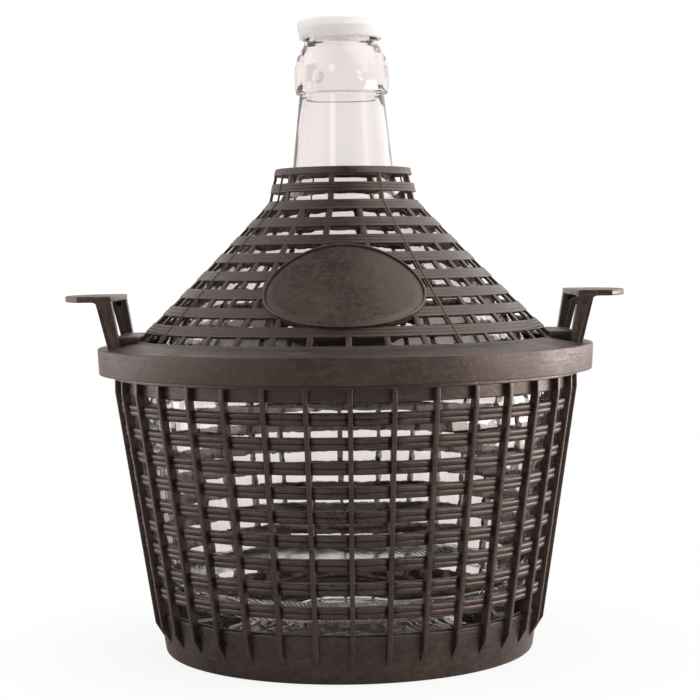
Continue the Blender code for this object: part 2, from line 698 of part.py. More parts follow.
def leg_outlines():
    """Side views of a leg, from its foot to the grip: the web, the outer lip and the inner flange."""
    web_edge = LEG_OUTER - LIP_WIDTH
    corner = leg_line(GRIP_BOTTOM, True)
    arc_x = leg_line(GRIP_BOTTOM, False) - LIP_WIDTH + FILLET
    arc_z = GRIP_BOTTOM - FILLET
    top = GRIP_BOTTOM + OVERLAP
    web = [(LEG_INNER, FOOT_BOTTOM), (LEG_INNER, BEND_HEIGHT), (corner, top), (arc_x, top)]
    web += [(arc_x - FILLET * math.sin(math.radians(turn)),
             arc_z + FILLET * math.cos(math.radians(turn))) for turn in (0, 30, 60)]
    web += [(leg_line(arc_z, False) - LIP_WIDTH, arc_z), (web_edge, BEND_HEIGHT),
            (web_edge, FOOT_BOTTOM)]
    low = FOOT_BOTTOM + OVERLAP
    lip_edge = web_edge - OVERLAP
    lip_corner = leg_line(GRIP_BOTTOM, False)
    lip = [(lip_edge, low), (lip_edge, BEND_HEIGHT), (lip_corner - LIP_WIDTH - OVERLAP, top),
           (lip_corner, top), (LEG_OUTER, BEND_HEIGHT), (LEG_OUTER, low)]
    flange = [(LEG_INNER, low), (LEG_INNER, BEND_HEIGHT), (corner, top), (corner + LEG_WALL, top),
              (LEG_INNER + LEG_WALL, BEND_HEIGHT), (LEG_INNER + LEG_WALL, low)]
    return web, lip, flange


def grip_outline():
    """Plan of the grip: a straight inner edge and an outer edge arched outward."""
    spread = LEG_SPREAD / 2
    inner_edge = leg_line(GRIP_BOTTOM, True)
    sag = GRIP_REACH - GRIP_END_REACH
    radius = (spread ** 2 + sag ** 2) / (2 * sag)
    middle = inner_edge + GRIP_REACH - radius
    half_turn = math.asin(spread / radius)
    turns = [half_turn * step / GRIP_STEPS for step in range(-GRIP_STEPS, GRIP_STEPS + 1)]
    arch = [(middle + radius * math.cos(turn), radius * math.sin(turn)) for turn in turns]
    return [(inner_edge, -spread)] + arch + [(inner_edge, spread)]


def handle(name, side, material, nub=False):
    """A flat arched grip on two channel-shaped legs that lean outward, each with a hooked foot."""
    spread = LEG_SPREAD / 2
    web, lip, flange = leg_outlines()
    foot = [(LEG_INNER + OVERLAP, FOOT_BOTTOM), (LEG_INNER + OVERLAP, FOOT_TOP),
            (LEG_OUTER - OVERLAP, FOOT_TOP), (LEG_OUTER - OVERLAP, FOOT_BOTTOM)]
    pieces = []
    for end in (-1, 1):
        for label, outline, start, depth in (
                ("web", web, 0.0, LEG_WALL),
                ("lip", lip, LIP_SETBACK, LEG_DEPTH - LIP_SETBACK),
                ("flange", flange, OVERLAP, LEG_DEPTH - OVERLAP),
                ("foot", foot, -FOOT_HOOK, LEG_DEPTH + 2 * FOOT_HOOK)):
            surface = Surface()
            slab(surface, outline, end * (spread - start), end * (spread - start - depth))
            pieces.append(surface.finish(f"{name}_{label}_{end + 1}", None))
    if nub:
        surface = Surface()
        root = leg_line(GRIP_BOTTOM, True) + LEG_WALL / 2
        slab(surface, [(root, GRIP_BOTTOM - NUB_HEIGHT),
                       (root - LEG_WALL / 2 - NUB_REACH, GRIP_BOTTOM - NUB_HEIGHT / 3),
                       (root, GRIP_BOTTOM + OVERLAP)], -spread + CLEARANCE, -spread + LEG_WALL)
        pieces.append(surface.finish(name + "_nub", None))
    surface = Surface()
    prism(surface, grip_outline(),
          lambda point: Vector((point[0], point[1], GRIP_BOTTOM)) * MM,
          lambda point: Vector((point[0], point[1], GRIP_TOP)) * MM)
    grip = surface.finish(name, material)

    # The legs' channels open through the grip
    surface = Surface()
    slot_in = leg_line(GRIP_BOTTOM, True) + LEG_WALL + CLEARANCE
    slot_out = leg_line(GRIP_BOTTOM, False) - LIP_WIDTH - OVERLAP - CLEARANCE
    for end in (-1, 1):
        near = end * (spread - LEG_WALL - CLEARANCE)
        far = end * (spread - LEG_DEPTH)
        slot = [(slot_in, near), (slot_out, near), (slot_out, far), (slot_in, far)]
        prism(surface, slot,
              lambda point: Vector((point[0], point[1], GRIP_BOTTOM - GRIP_THICKNESS)) * MM,
              lambda point: Vector((point[0], point[1], GRIP_TOP + GRIP_THICKNESS)) * MM)
    slots = surface.finish(name + "_slots", None)
    for piece in pieces:
        boolean(grip, piece, "UNION")
    boolean(grip, slots, "DIFFERENCE")
    if side < 0:
        for thing in [grip, slots] + pieces:
            thing.data.transform(Matrix.Scale(-1.0, 4, Vector((1.0, 0.0, 0.0))))
            thing.data.flip_normals()
    return grip


def bottle(material):
    """Blown glass: punted base, round belly, long shoulder, tapered neck and bulging finish."""
    outside = GLASS
    top = outside[-1]
    ring_inner = BASE_RADIUS - BASE_RING_WIDTH
    underside = [(0.0, SEAT + PUNT_HEIGHT), (0.5 * ring_inner, SEAT + 0.75 * PUNT_HEIGHT),
                 (ring_inner, SEAT)]
    body = [point for point in outside if point[1] <= SEAT + NECK_ROOT_HEIGHT + 0.1]
    lining = offset_inward(body, GLASS_WALL)[2::2]
    neck_inner = NECK_TOP_RADIUS - GLASS_WALL
    floor_level = SEAT + GLASS_BASE
    inside = [(BORE_RADIUS + 1.0, top[1]), (BORE_RADIUS, top[1] - 1.0),
              (BORE_RADIUS, SEAT + NECK_TOP_HEIGHT + 0.4 * FINISH_HEIGHT),
              (neck_inner, SEAT + NECK_TOP_HEIGHT - 6.0)]
    inside += list(reversed(lining))
    inside += [(ring_inner, floor_level), (0.5 * ring_inner, floor_level + 0.75 * PUNT_HEIGHT),
               (0.0, floor_level + PUNT_HEIGHT)]
    return turned("bottle", underside + outside + inside, GLASS_SEGMENTS, material)


def cap(material):
    """Press-on cap: a skirt over the lip and a hollow plug in the bore."""
    mouth = GLASS[-1][1]
    roof = mouth + CLEARANCE
    top = roof + CAP_TOP_THICKNESS
    low = roof - CAP_SKIRT_HEIGHT
    skirt_bore = LIP_RADIUS + CLEARANCE
    plug = BORE_RADIUS - CLEARANCE
    profile = [(0.0, top), (CAP_TOP_RADIUS - CAP_ROUNDING, top), (CAP_TOP_RADIUS, top - CAP_ROUNDING),
               (CAP_TOP_RADIUS, top - 3.0 * CAP_ROUNDING), (skirt_bore + CAP_SKIRT_WALL, low),
               (skirt_bore, low), (skirt_bore, roof), (plug, roof), (plug, roof - PLUG_LENGTH + 1.0),
               (plug - 0.8, roof - PLUG_LENGTH), (plug - PLUG_WALL, roof - PLUG_LENGTH),
               (plug - PLUG_WALL, roof), (0.0, roof)]
    thing = turned("cap", profile, CAP_SEGMENTS, material)
    thing.data.transform(Matrix.Translation((0.0, 0.0, -roof * MM)))
    thing.location = (0.0, 0.0, roof * MM)
    return thing


def build():
    for thing in list(bpy.data.objects):
        bpy.data.objects.remove(thing, do_unlink=True)
    brown = (0.055, 0.042, 0.038)
    lower_basket(plastic("basket_plastic", brown, 0.42))
    upper_cover(plastic("cover_plastic", brown, 0.42))
    handle("handle_left", -1, plastic("left_handle_plastic", brown, 0.38))
    handle("handle_right", 1, plastic("right_handle_plastic", brown, 0.38), nub=True)
    bottle(plastic("clear_glass", (0.95, 0.97, 0.96), 0.02, transmission=1.0, ior=1.52))
    cap(plastic("cap_polyethylene", (0.86, 0.85, 0.84), 0.35, transmission=0.15))


build()
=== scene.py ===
"""Looks of the glass demijohn in its plastic basket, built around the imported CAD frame.

Every CAD node is replaced by a finer mesh of the same sizes. Lengths are written in
millimetres and heights from the underside of the basket, as in the part's own source.
Lamps and the floor are in metres.
"""

import math

import bmesh
import bpy
from mathutils import Matrix, Vector, geometry, noise


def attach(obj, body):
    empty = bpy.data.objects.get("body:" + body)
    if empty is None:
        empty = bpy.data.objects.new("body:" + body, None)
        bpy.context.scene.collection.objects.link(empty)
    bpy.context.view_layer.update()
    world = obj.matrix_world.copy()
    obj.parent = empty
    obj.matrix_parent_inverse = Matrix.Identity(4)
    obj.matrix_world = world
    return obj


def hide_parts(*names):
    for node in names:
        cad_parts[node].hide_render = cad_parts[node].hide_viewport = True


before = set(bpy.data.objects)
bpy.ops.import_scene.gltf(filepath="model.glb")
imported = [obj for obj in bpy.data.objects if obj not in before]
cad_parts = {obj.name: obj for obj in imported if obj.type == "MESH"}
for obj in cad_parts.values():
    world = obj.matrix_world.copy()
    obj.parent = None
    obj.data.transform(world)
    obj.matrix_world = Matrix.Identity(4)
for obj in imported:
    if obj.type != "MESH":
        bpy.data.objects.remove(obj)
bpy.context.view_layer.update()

MM = 0.001

# Sizes shared by several pieces, the same as in the CAD model
CLEARANCE = 0.3
OVERLAP = 0.5  # how far the parts of one moulding reach into each other
FLOOR_STEP = 1.5  # underside of the floor above the foot ring
FLOOR_TOP = 4.0
SEAT = FLOOR_TOP + CLEARANCE
RIB_COUNT = 36
RIB_TURN = 1.0  # degrees between the front and the nearest rib
BAND_BOTTOM = 136.3  # solid band under the rim flange
BAND_TOP = 153.2
FLANGE_THICKNESS = 2.6
COVER_WALL = 2.0
COLLAR_EDGE = BAND_TOP + FLANGE_THICKNESS + CLEARANCE + COVER_WALL
COLLAR_HEIGHT = 13.1
COLLAR_RADIUS = 128.53
COLLAR_BORE = 126.54
COLLAR_DRAFT = 0.7
COLLAR_FALL = 3.1  # of the collar's sloping top, from its inner to its outer edge
FOOT_RADIUS = 110.04  # inner edge of the collar's top, where the cone stands
FOOT_LEVEL = COLLAR_EDGE + COLLAR_FALL

# Radii and heights of the glass above its own standing ring, the same as in the CAD model
BASE = (76.0, 0.0)
BASE_RING_WIDTH = 7.0
HEEL = (93.0, 26.0)
BELLY = (105.0, 114.0)
SHOULDER = (76.0, 180.0)
NECK_ROOT = (26.2, 244.0)
NECK_TOP = (22.2, 283.0)
FINISH_RADIUS = 24.6  # bulging ring under the mouth
FINISH_TOP = 303.0
LIP_RADIUS = 18.7
MOUTH_HEIGHT = 317.7
BORE_RADIUS = 14.6
GLASS_WALL = 3.0

# Fineness of the meshes
SEGMENTS = 180  # flats round the basket and the cover, five per rib
HOOP_SEGMENTS = 2 * SEGMENTS
GLASS_SEGMENTS = 288
CAP_SEGMENTS = 128
CORNER_STEPS = 5  # flats round a small rounded corner
FINE_STEPS = 3  # and round a very small one
CORNER_SHARE = 0.48  # the most of a side that a rounded corner may take
SHARP_ANGLE = 38.0
BEVEL_ANGLE = 32.0
ON_AXIS = 1e-6


# Mesh helpers

def polar(angle, radius, height, shift=0.0):
    """A point at a radius, moved sideways by shift and kept at that radius."""
    along = math.sqrt(max(radius * radius - shift * shift, 0.0))
    x = along * math.cos(angle) - shift * math.sin(angle)
    y = along * math.sin(angle) + shift * math.cos(angle)
    return Vector((x, y, height)) * MM


def rib_angle(index, count=RIB_COUNT):
    """Angle of one of count places about +Z, counted from the first rib beside the front."""
    return math.radians(RIB_TURN - 90.0) + 2 * math.pi * index / count


class Solid:
    """Collects closed bodies as plain vertex and face lists."""

    def __init__(self):
        self.verts = []
        self.faces = []

    def vertex(self, spot):
        self.verts.append(spot)
        return len(self.verts) - 1

    def spin(self, profile, segments, closed=True, ripple=None):
        """Turns a (radius, height) profile round +Z. An open one starts and ends on the axis."""
        rows = []
        for radius, height in profile:
            if radius < ON_AXIS:
                rows.append([self.vertex(Vector((0, 0, height * MM)))] * segments)
                continue
            row = []
            for step in range(segments):
                angle = rib_angle(step, segments)
                grown = radius + (ripple(angle, radius, height) if ripple else 0.0)
                row.append(self.vertex(polar(angle, grown, height)))
            rows.append(row)
        pairs = list(zip(rows, rows[1:]))
        if closed:
            pairs.append((rows[-1], rows[0]))
        for low, high in pairs:
            for step in range(segments):
                after = (step + 1) % segments
                corners = list(dict.fromkeys((low[step], low[after], high[after], high[step])))
                if len(corners) > 2:
                    self.faces.append(corners)
        return self

    def loft(self, sections):
        """A closed bar through a row of like outlines."""
        rows = [[self.vertex(spot) for spot in section] for section in sections]
        count = len(rows[0])
        for low, high in zip(rows, rows[1:]):
            for step in range(count):
                after = (step + 1) % count
                self.faces.append((low[step], low[after], high[after], high[step]))
        self.faces.append(rows[0])
        self.faces.append(rows[-1])
        return self

    def make(self, name, sharp=SHARP_ANGLE):
        """The object of these bodies, with its faces turned outward."""
        mesh = bpy.data.meshes.new(name)
        mesh.from_pydata(self.verts, [], self.faces)
        working = bmesh.new()
        working.from_mesh(mesh)
        bmesh.ops.recalc_face_normals(working, faces=working.faces)
        working.to_mesh(mesh)
        working.free()
        thing = bpy.data.objects.new(name, mesh)
        bpy.context.collection.objects.link(thing)
        smooth(thing, sharp)
        return thing


def smooth(thing, sharp=SHARP_ANGLE):
    thing.data.shade_smooth()
    thing.data.set_sharp_from_angle(angle=math.radians(sharp))


def dress(thing, material):
    """Smooth shading and the piece's one material."""
    smooth(thing)
    thing.data.materials.clear()
    thing.data.materials.append(material)
    return thing


def settle(thing, helpers=()):
    """Applies the modifiers and removes the helper objects."""
    bpy.context.view_layer.update()
    graph = bpy.context.evaluated_depsgraph_get()
    mesh = bpy.data.meshes.new_from_object(thing.evaluated_get(graph))
    mesh.name = thing.name
    thing.modifiers.clear()
    thing.data = mesh
    for helper in helpers:
        bpy.data.objects.remove(helper, do_unlink=True)
    return thing


def combine(target, others, operation="UNION"):
    for other in others:
        modifier = target.modifiers.new(other.name, "BOOLEAN")
        modifier.object = other
        modifier.operation = operation
        modifier.solver = "MANIFOLD"
    return settle(target, others)


def rounded(thing, width):
    modifier = thing.modifiers.new("edges", "BEVEL")
    modifier.width = width * MM
    modifier.segments = FINE_STEPS
    modifier.limit_method = "ANGLE"
    modifier.angle_limit = math.radians(BEVEL_ANGLE)
    return settle(thing)


def corner(before, at, after, radius, steps=CORNER_STEPS):
    """Points that round one corner of a profile."""
    before, at, after = Vector(before), Vector(at), Vector(after)
    into, out = (before - at).normalized(), (after - at).normalized()
    half = math.acos(max(-1.0, min(1.0, into.dot(out)))) / 2
    reach = min(radius / math.tan(half), CORNER_SHARE * min((before - at).length, (after - at).length))
    start, end = at + into * reach, at + out * reach
    points = []
    for step in range(steps + 1):
        share = step / steps
        points.append(tuple(start * (1 - share) ** 2 + at * 2 * share * (1 - share) + end * share * share))
    return points


def soften(profile, radii, closed=True):
    """The profile with its corners rounded. radii gives one radius for each point."""
    points = []
    count = len(profile)
    for index, point in enumerate(profile):
        ends = not closed and index in (0, count - 1)
        if ends or not radii[index]:
            points.append(tuple(point))
            continue
        points += corner(profile[index - 1], point, profile[(index + 1) % count], radii[index])
    return points


def curve(start, handle_a, handle_b, end, steps):
    """Points of a Bezier stretch in the (radius, height) plane, without its first point."""
    spots = [Vector((*point, 0.0)) for point in (start, handle_a, handle_b, end)]
    return [(point.x, point.y) for point in geometry.interpolate_bezier(*spots, steps + 1)[1:]]


def both_sides(half):
    """A whole outline from its half on the positive side."""
    return [(-across, depth) for across, depth in half] + list(reversed(half))


# Materials

class Nodes:
    """A short way to write the node tree of a material or of the world."""

    def __init__(self, owner, coordinate="Object"):
        self.tree = owner.node_tree
        self.spot = self.new("ShaderNodeTexCoord").outputs[coordinate]

    def new(self, kind, **settings):
        node = self.tree.nodes.new(kind)
        for name, value in settings.items():
            setattr(node, name, value)
        return node

    def link(self, source, target):
        self.tree.links.new(source, target)

    def fill(self, socket, value):
        """Sets a socket to a number or a colour, or links it to another socket."""
        if isinstance(value, (int, float)):
            socket.default_value = value
        elif isinstance(value, tuple):
            socket.default_value = (*value, 1.0)
        else:
            self.link(value, socket)

    def feed(self, node, **values):
        """Fills a node's sockets by their labels, with _ for a space."""
        for label, value in values.items():
            self.fill(node.inputs[label.replace("_", " ")], value)

    def mapped(self, scale=(1.0, 1.0, 1.0), turn=(0.0, 0.0, 0.0)):
        node = self.new("ShaderNodeMapping")
        node.inputs["Scale"].default_value = scale
        node.inputs["Rotation"].default_value = turn
        self.link(self.spot, node.inputs["Vector"])
        return node.outputs["Vector"]

    def noise(self, scale, detail, roughness, vector=None, distortion=0.0):
        node = self.new("ShaderNodeTexNoise")
        self.feed(node, Scale=scale, Detail=detail, Roughness=roughness, Distortion=distortion,
                  Vector=vector or self.spot)
        return node.outputs["Fac"]

    def spread(self, value, low, high, to_low=0.0, to_high=1.0, shape="LINEAR"):
        """The value's range from low to high, clamped and carried over to another range."""
        node = self.new("ShaderNodeMapRange", clamp=True, interpolation_type=shape)
        self.feed(node, Value=value, From_Min=low, From_Max=high, To_Min=to_low, To_Max=to_high)
        return node.outputs["Result"]

    def math(self, operation, first, second):
        node = self.new("ShaderNodeMath", operation=operation)
        self.fill(node.inputs[0], first)
        self.fill(node.inputs[1], second)
        return node.outputs["Value"]

    def mix(self, share, first, second, kind="RGBA"):
        node = self.new("ShaderNodeMix", data_type=kind)
        self.feed(node, Factor=share, A=first, B=second)
        return node.outputs["Result"]

    def bump(self, height, strength, distance, below=None):
        node = self.new("ShaderNodeBump")
        self.feed(node, Strength=strength, Distance=distance * MM, Height=height)
        if below:
            self.link(below, node.inputs["Normal"])
        return node.outputs["Normal"]


def principled(name, **values):
    """A new material, its shader with these values, and its nodes."""
    material = bpy.data.materials.new(name)
    material.use_nodes = True
    shader = material.node_tree.nodes["Principled BSDF"]
    for label, value in values.items():
        shader.inputs[label.replace("_", " ")].default_value = value
    return material, shader, Nodes(material)


BROWN_DARK = (0.0110, 0.0080, 0.0064)
BROWN_LIGHT = (0.0215, 0.0158, 0.0127)
BROWN_WORN = (0.080, 0.061, 0.052)


def brown_plastic(name, roughness, seed, mark_scale=(700.0, 700.0, 55.0), depth=1.0):
    """Dark brown moulded plastic: mottled, finely grained, with rub marks and paler edges.

    The marks run along the axis in which mark_scale is small. depth lightens all the browns.
    """
    dark, light, worn = (tuple(part * depth for part in shade)
                         for shade in (BROWN_DARK, BROWN_LIGHT, BROWN_WORN))
    material, shader, nodes = principled(name, Specular_IOR_Level=0.5, Specular_Tint=(1.0, 0.80, 0.73, 1.0))
    shifted = nodes.mapped(turn=(0.1 * seed, 0.2 * seed, 0.3 * seed))
    cloud = nodes.noise(scale=38.0, detail=4.0, roughness=0.6, vector=shifted)
    speckle = nodes.noise(scale=330.0, detail=5.0, roughness=0.7, vector=shifted)
    grain = nodes.noise(scale=1700.0, detail=2.0, roughness=0.6)
    marks = nodes.noise(scale=1.0, detail=4.0, roughness=0.65,
                        vector=nodes.mapped(mark_scale, (0.04, 0.03, 0.0)), distortion=0.4)
    pointiness = nodes.new("ShaderNodeNewGeometry").outputs["Pointiness"]
    edge = nodes.math("MULTIPLY", nodes.spread(pointiness, 0.515, 0.60, 0.0, 0.55),
                      nodes.spread(cloud, 0.3, 0.6, 0.4, 1.0))

    colour = nodes.mix(nodes.spread(cloud, 0.35, 0.68), dark, light)
    colour = nodes.mix(nodes.spread(speckle, 0.46, 0.70, 0.0, 0.28), colour, worn)
    colour = nodes.mix(nodes.spread(marks, 0.56, 0.80, 0.0, 0.5), colour, worn)
    colour = nodes.mix(edge, colour, worn)
    nodes.link(colour, shader.inputs["Base Color"])

    dull = nodes.spread(marks, 0.3, 0.8, roughness - 0.07, roughness + 0.12)
    dull = nodes.math("ADD", dull, nodes.spread(cloud, 0.35, 0.65, -0.06, 0.08))
    dull = nodes.math("ADD", dull, nodes.spread(speckle, 0.35, 0.65, -0.03, 0.07))
    nodes.link(dull, shader.inputs["Roughness"])

    normal = nodes.bump(grain, strength=0.22, distance=0.12)
    normal = nodes.bump(marks, strength=0.3, distance=0.25, below=normal)
    normal = nodes.bump(speckle, strength=0.5, distance=0.35, below=normal)
    normal = nodes.bump(cloud, strength=0.25, distance=1.2, below=normal)
    nodes.link(normal, shader.inputs["Normal"])
    return material


KNURL_LOW = 30.0  # band of fine slanting ridges near the heel
KNURL_HIGH = 39.0
KNURL_FADE = 0.5


def clear_glass():
    """Slightly wavy blown glass with a knurled band near its heel."""
    material, shader, nodes = principled(
        "bottle_glass", Base_Color=(0.940, 0.932, 0.928, 1.0), Roughness=0.0, IOR=1.5,
        Transmission_Weight=1.0, Specular_IOR_Level=0.5, Specular_Tint=(1.0, 0.93, 0.91, 1.0))
    tint = nodes.new("ShaderNodeVolumeAbsorption")
    tint.inputs["Color"].default_value = (0.72, 0.60, 0.57, 1.0)
    tint.inputs["Density"].default_value = 6.0
    nodes.link(tint.outputs[0], material.node_tree.nodes["Material Output"].inputs["Volume"])

    wave = nodes.noise(scale=22.0, detail=2.0, roughness=0.5, vector=nodes.mapped((1.0, 1.0, 0.35)))
    seeds = nodes.noise(scale=240.0, detail=1.0, roughness=0.5)
    ridges = nodes.new("ShaderNodeTexWave", bands_direction="DIAGONAL")
    ridges.inputs["Scale"].default_value = 390.0
    nodes.link(nodes.spot, ridges.inputs["Vector"])
    apart = nodes.new("ShaderNodeSeparateXYZ")
    nodes.link(nodes.spot, apart.inputs["Vector"])
    height = apart.outputs["Z"]
    above = nodes.spread(height, (KNURL_LOW - KNURL_FADE) * MM, (KNURL_LOW + KNURL_FADE) * MM)
    below = nodes.spread(height, (KNURL_HIGH - KNURL_FADE) * MM, (KNURL_HIGH + KNURL_FADE) * MM, 1.0, 0.0)
    knurl = nodes.math("MULTIPLY", ridges.outputs["Fac"], nodes.math("MULTIPLY", above, below))

    normal = nodes.bump(wave, strength=0.4, distance=1.6)
    normal = nodes.bump(seeds, strength=0.06, distance=0.3, below=normal)
    normal = nodes.bump(knurl, strength=0.7, distance=0.5, below=normal)
    nodes.link(normal, shader.inputs["Normal"])
    return material


def cap_plastic():
    """Milky polyethylene with soft mould marks."""
    material, shader, nodes = principled(
        "cap_polyethylene", Specular_IOR_Level=0.4, Transmission_Weight=0.56, IOR=1.20,
        Subsurface_Weight=1.0, Subsurface_Radius=(1.0, 0.96, 0.94), Subsurface_Scale=0.005)
    cloud = nodes.noise(scale=90.0, detail=3.0, roughness=0.55)
    grain = nodes.noise(scale=1500.0, detail=2.0, roughness=0.5)
    colour = nodes.mix(nodes.spread(cloud, 0.35, 0.7), (0.945, 0.950, 0.950), (0.970, 0.975, 0.975))
    nodes.link(colour, shader.inputs["Base Color"])
    nodes.link(nodes.spread(cloud, 0.3, 0.7, 0.48, 0.6), shader.inputs["Roughness"])
    normal = nodes.bump(cloud, strength=0.2, distance=0.5)
    normal = nodes.bump(grain, strength=0.15, distance=0.1, below=normal)
    nodes.link(normal, shader.inputs["Normal"])
    return material


# Lower basket

BORE_AT_FLOOR = 92.52
BASKET_DRAFT = 0.1536  # outward lean of the wall, radius over height
WALL = 3.3
FOOT_RING_WIDTH = 6.0
FOOT_ROUNDING = 3.0  # the ring's width counts from it
FOOT_EDGE = 2.4
FLAT_RADIUS = 60.0
COVE_RADIUS = 7.0  # rounding between the floor and the wall inside
GATE_RADIUS = 3.2  # round recess where the plastic was let in
GATE_DEPTH = 0.4
BEAD_RADIUS = 42.0  # shallow ring under the floor
BEAD_HALF_WIDTH = 1.0
BEAD_DEPTH = 0.6
SKIRT_TOP = 24.5
SKIRT_LEVELS = (8.0, 8.8, 16.5)
LEDGE_WIDTH = 1.3  # slanting edge on top of the skirt
LEDGE_DROP = 0.9
HOOP_COUNT = 9
HOOP_PITCH = 11.65
HOOP_HEIGHT = 5.8
HOOPS = [32.5 + HOOP_PITCH * index for index in range(HOOP_COUNT)]
HOOP_EXTRA = 0.3  # finer strands are a little taller than the plain CAD ones
HOOP_PROUD = 1.6  # strands beyond the wall's face
HOOP_BACK = 2.0  # how far inside that face their flat edges end
STRAND_STEPS = 8
STRAND_SQUARENESS = 0.8  # below 1 a strand is fuller than a round one
STRAND_LIP = (0.2, 0.15)  # rounds a hoop's edges, inward and toward its middle
GROOVE_DEPTH = 0.85
DIP_DEPTH = 1.3  # strands sink where they pass behind a rib
DIP_REACH = 4.2
BACK_DEPTH = 0.3  # deeper points of a hoop are its back
FLANGE_RADIUS = 125.75
RIM_TOP = 157.9
LIP_LOW = 142.8  # lip over the ribs' upper ends
LIP_HIGH = 146.3
LIP_PROUD = 0.4
RIB_DEPTH = 3.4  # how far a rib stands out of the hoops
RIB_WIDTH = 2.4
RIB_BACK_SHARE = 0.85  # width of a rib's back as a share of its front
RIB_ROUNDING = 0.55
ROUNDING_SHARE = 0.45  # the most of a rib's depth that its rounding may take
ROUNDING_STEPS = 4
RIB_FOOT = 9.0  # height at which a rib runs out on the skirt
RIB_TAPER = 7.0  # length over which it does
ROOT_DEEP = 1.5  # how far ribs reach into solid wall, and into hoops
ROOT_SHALLOW = 0.8
RIB_LEVELS = [RIB_FOOT - 1.1, RIB_FOOT + RIB_TAPER + 0.4, RIB_FOOT + RIB_TAPER + 2.0]
RIB_LEVELS += [SKIRT_TOP - 0.3, SKIRT_TOP + 1.2]
RIB_LEVELS += [HOOPS[0] - 4.5 + HOOP_PITCH * index for index in range(HOOP_COUNT + 1)]
RIB_LEVELS += [BAND_BOTTOM - 0.1, BAND_BOTTOM + 0.7, LIP_LOW + 0.8]


def bore(height):
    """Inner radius of the basket. The wall stands upright from the band upwards."""
    return BORE_AT_FLOOR + BASKET_DRAFT * min(height, BAND_BOTTOM)


def hoop_face(height):
    return bore(height) + WALL


def on_face(height):
    return (hoop_face(height), height)


def on_bore(height):
    return (bore(height), height)


def base_profile():
    """Floor, foot ring and skirt with the narrow ledge on its top."""
    gate = FLOOR_STEP + GATE_DEPTH
    bead = FLOOR_STEP - BEAD_DEPTH
    bead_in, bead_out = BEAD_RADIUS - BEAD_HALF_WIDTH, BEAD_RADIUS + BEAD_HALF_WIDTH
    outline = [(0.0, gate), (GATE_RADIUS, gate), (GATE_RADIUS + GATE_DEPTH, FLOOR_STEP),
               (bead_in - BEAD_HALF_WIDTH, FLOOR_STEP), (bead_in, bead), (bead_out, bead),
               (bead_out + BEAD_HALF_WIDTH, FLOOR_STEP)]
    foot = hoop_face(FOOT_ROUNDING) - FOOT_ROUNDING - FOOT_RING_WIDTH
    outline += [(foot, FLOOR_STEP), (foot, 0.0)]
    outline += corner((foot, 0.0), on_face(0.0), on_face(SKIRT_LEVELS[0]), FOOT_EDGE)
    outline += [on_face(level) for level in SKIRT_LEVELS]

    top_out = hoop_face(SKIRT_TOP)
    ledge_out = (top_out, SKIRT_TOP - LEDGE_DROP)
    ledge_in = (top_out - LEDGE_WIDTH, SKIRT_TOP)
    on_ledge = (top_out - 0.6, SKIRT_TOP - 0.4)
    outline += corner(on_face(SKIRT_LEVELS[-1]), ledge_out, ledge_in, 0.5, FINE_STEPS)
    outline += corner(on_ledge, ledge_in, on_bore(SKIRT_TOP), 0.4, FINE_STEPS)
    outline += corner(ledge_in, on_bore(SKIRT_TOP), on_bore(10.0), 0.5, FINE_STEPS)
    outline += corner(on_bore(20.0), on_bore(FLOOR_TOP), (FLAT_RADIUS, FLOOR_TOP), COVE_RADIUS, 8)
    outline += [(FLAT_RADIUS, FLOOR_TOP), (0.0, FLOOR_TOP)]
    return outline


def hoop_profile(bottom):
    """Two rounded strands outside, a plain wall inside."""
    bottom -= HOOP_EXTRA / 2
    height = HOOP_HEIGHT + HOOP_EXTRA
    top = bottom + height
    strand = height / 2
    points = []
    for part in range(2):
        for step in range(part, STRAND_STEPS + 1):
            turn = math.pi * step / STRAND_STEPS
            level = bottom + part * strand + strand * (1 - math.cos(turn)) / 2
            toward_groove = (part == 0) == (step > STRAND_STEPS / 2)
            depth = GROOVE_DEPTH if toward_groove else HOOP_PROUD
            sunk = depth * (1 - math.sin(turn) ** STRAND_SQUARENESS)
            points.append((hoop_face(level) + HOOP_PROUD - sunk, level))
    inward, toward_middle = STRAND_LIP
    points[0] = (points[0][0] - inward, bottom + toward_middle)
    points[-1] = (points[-1][0] - inward, top - toward_middle)
    inner = [(hoop_face(top) - HOOP_BACK, top), on_bore(top), on_bore(bottom),
             (hoop_face(bottom) - HOOP_BACK, bottom)]
    return points + soften(inner, (0, 0.5, 0.5, 0))


def strand_dip(angle, radius, height):
    """How far a strand sinks where it passes behind a rib. The hoop's back stays."""
    if radius < hoop_face(height) - BACK_DEPTH:
        return 0.0
    bay = 2 * math.pi / RIB_COUNT
    away = abs(math.remainder(angle - rib_angle(0), bay)) * radius
    return -DIP_DEPTH * max(0.0, 1 - away / DIP_REACH) ** 2


def band_profile():
    """Solid band, the lip over the ribs' ends and the flange under the collar."""
    face = hoop_face(BAND_BOTTOM)
    lip = hoop_face(LIP_LOW) + RIB_DEPTH + LIP_PROUD
    outline = [on_bore(BAND_BOTTOM), (face, BAND_BOTTOM), (face, LIP_LOW),
               (lip, LIP_LOW), (lip, LIP_HIGH), (face, LIP_HIGH), (face, BAND_TOP),
               (FLANGE_RADIUS, BAND_TOP), (FLANGE_RADIUS, BAND_TOP + FLANGE_THICKNESS),
               (bore(BAND_TOP), RIM_TOP)]
    return soften(outline, (0.5, 0.7, 0.3, 0.5, 0.6, 0, 0, 0.5, 0.6, 0.5))


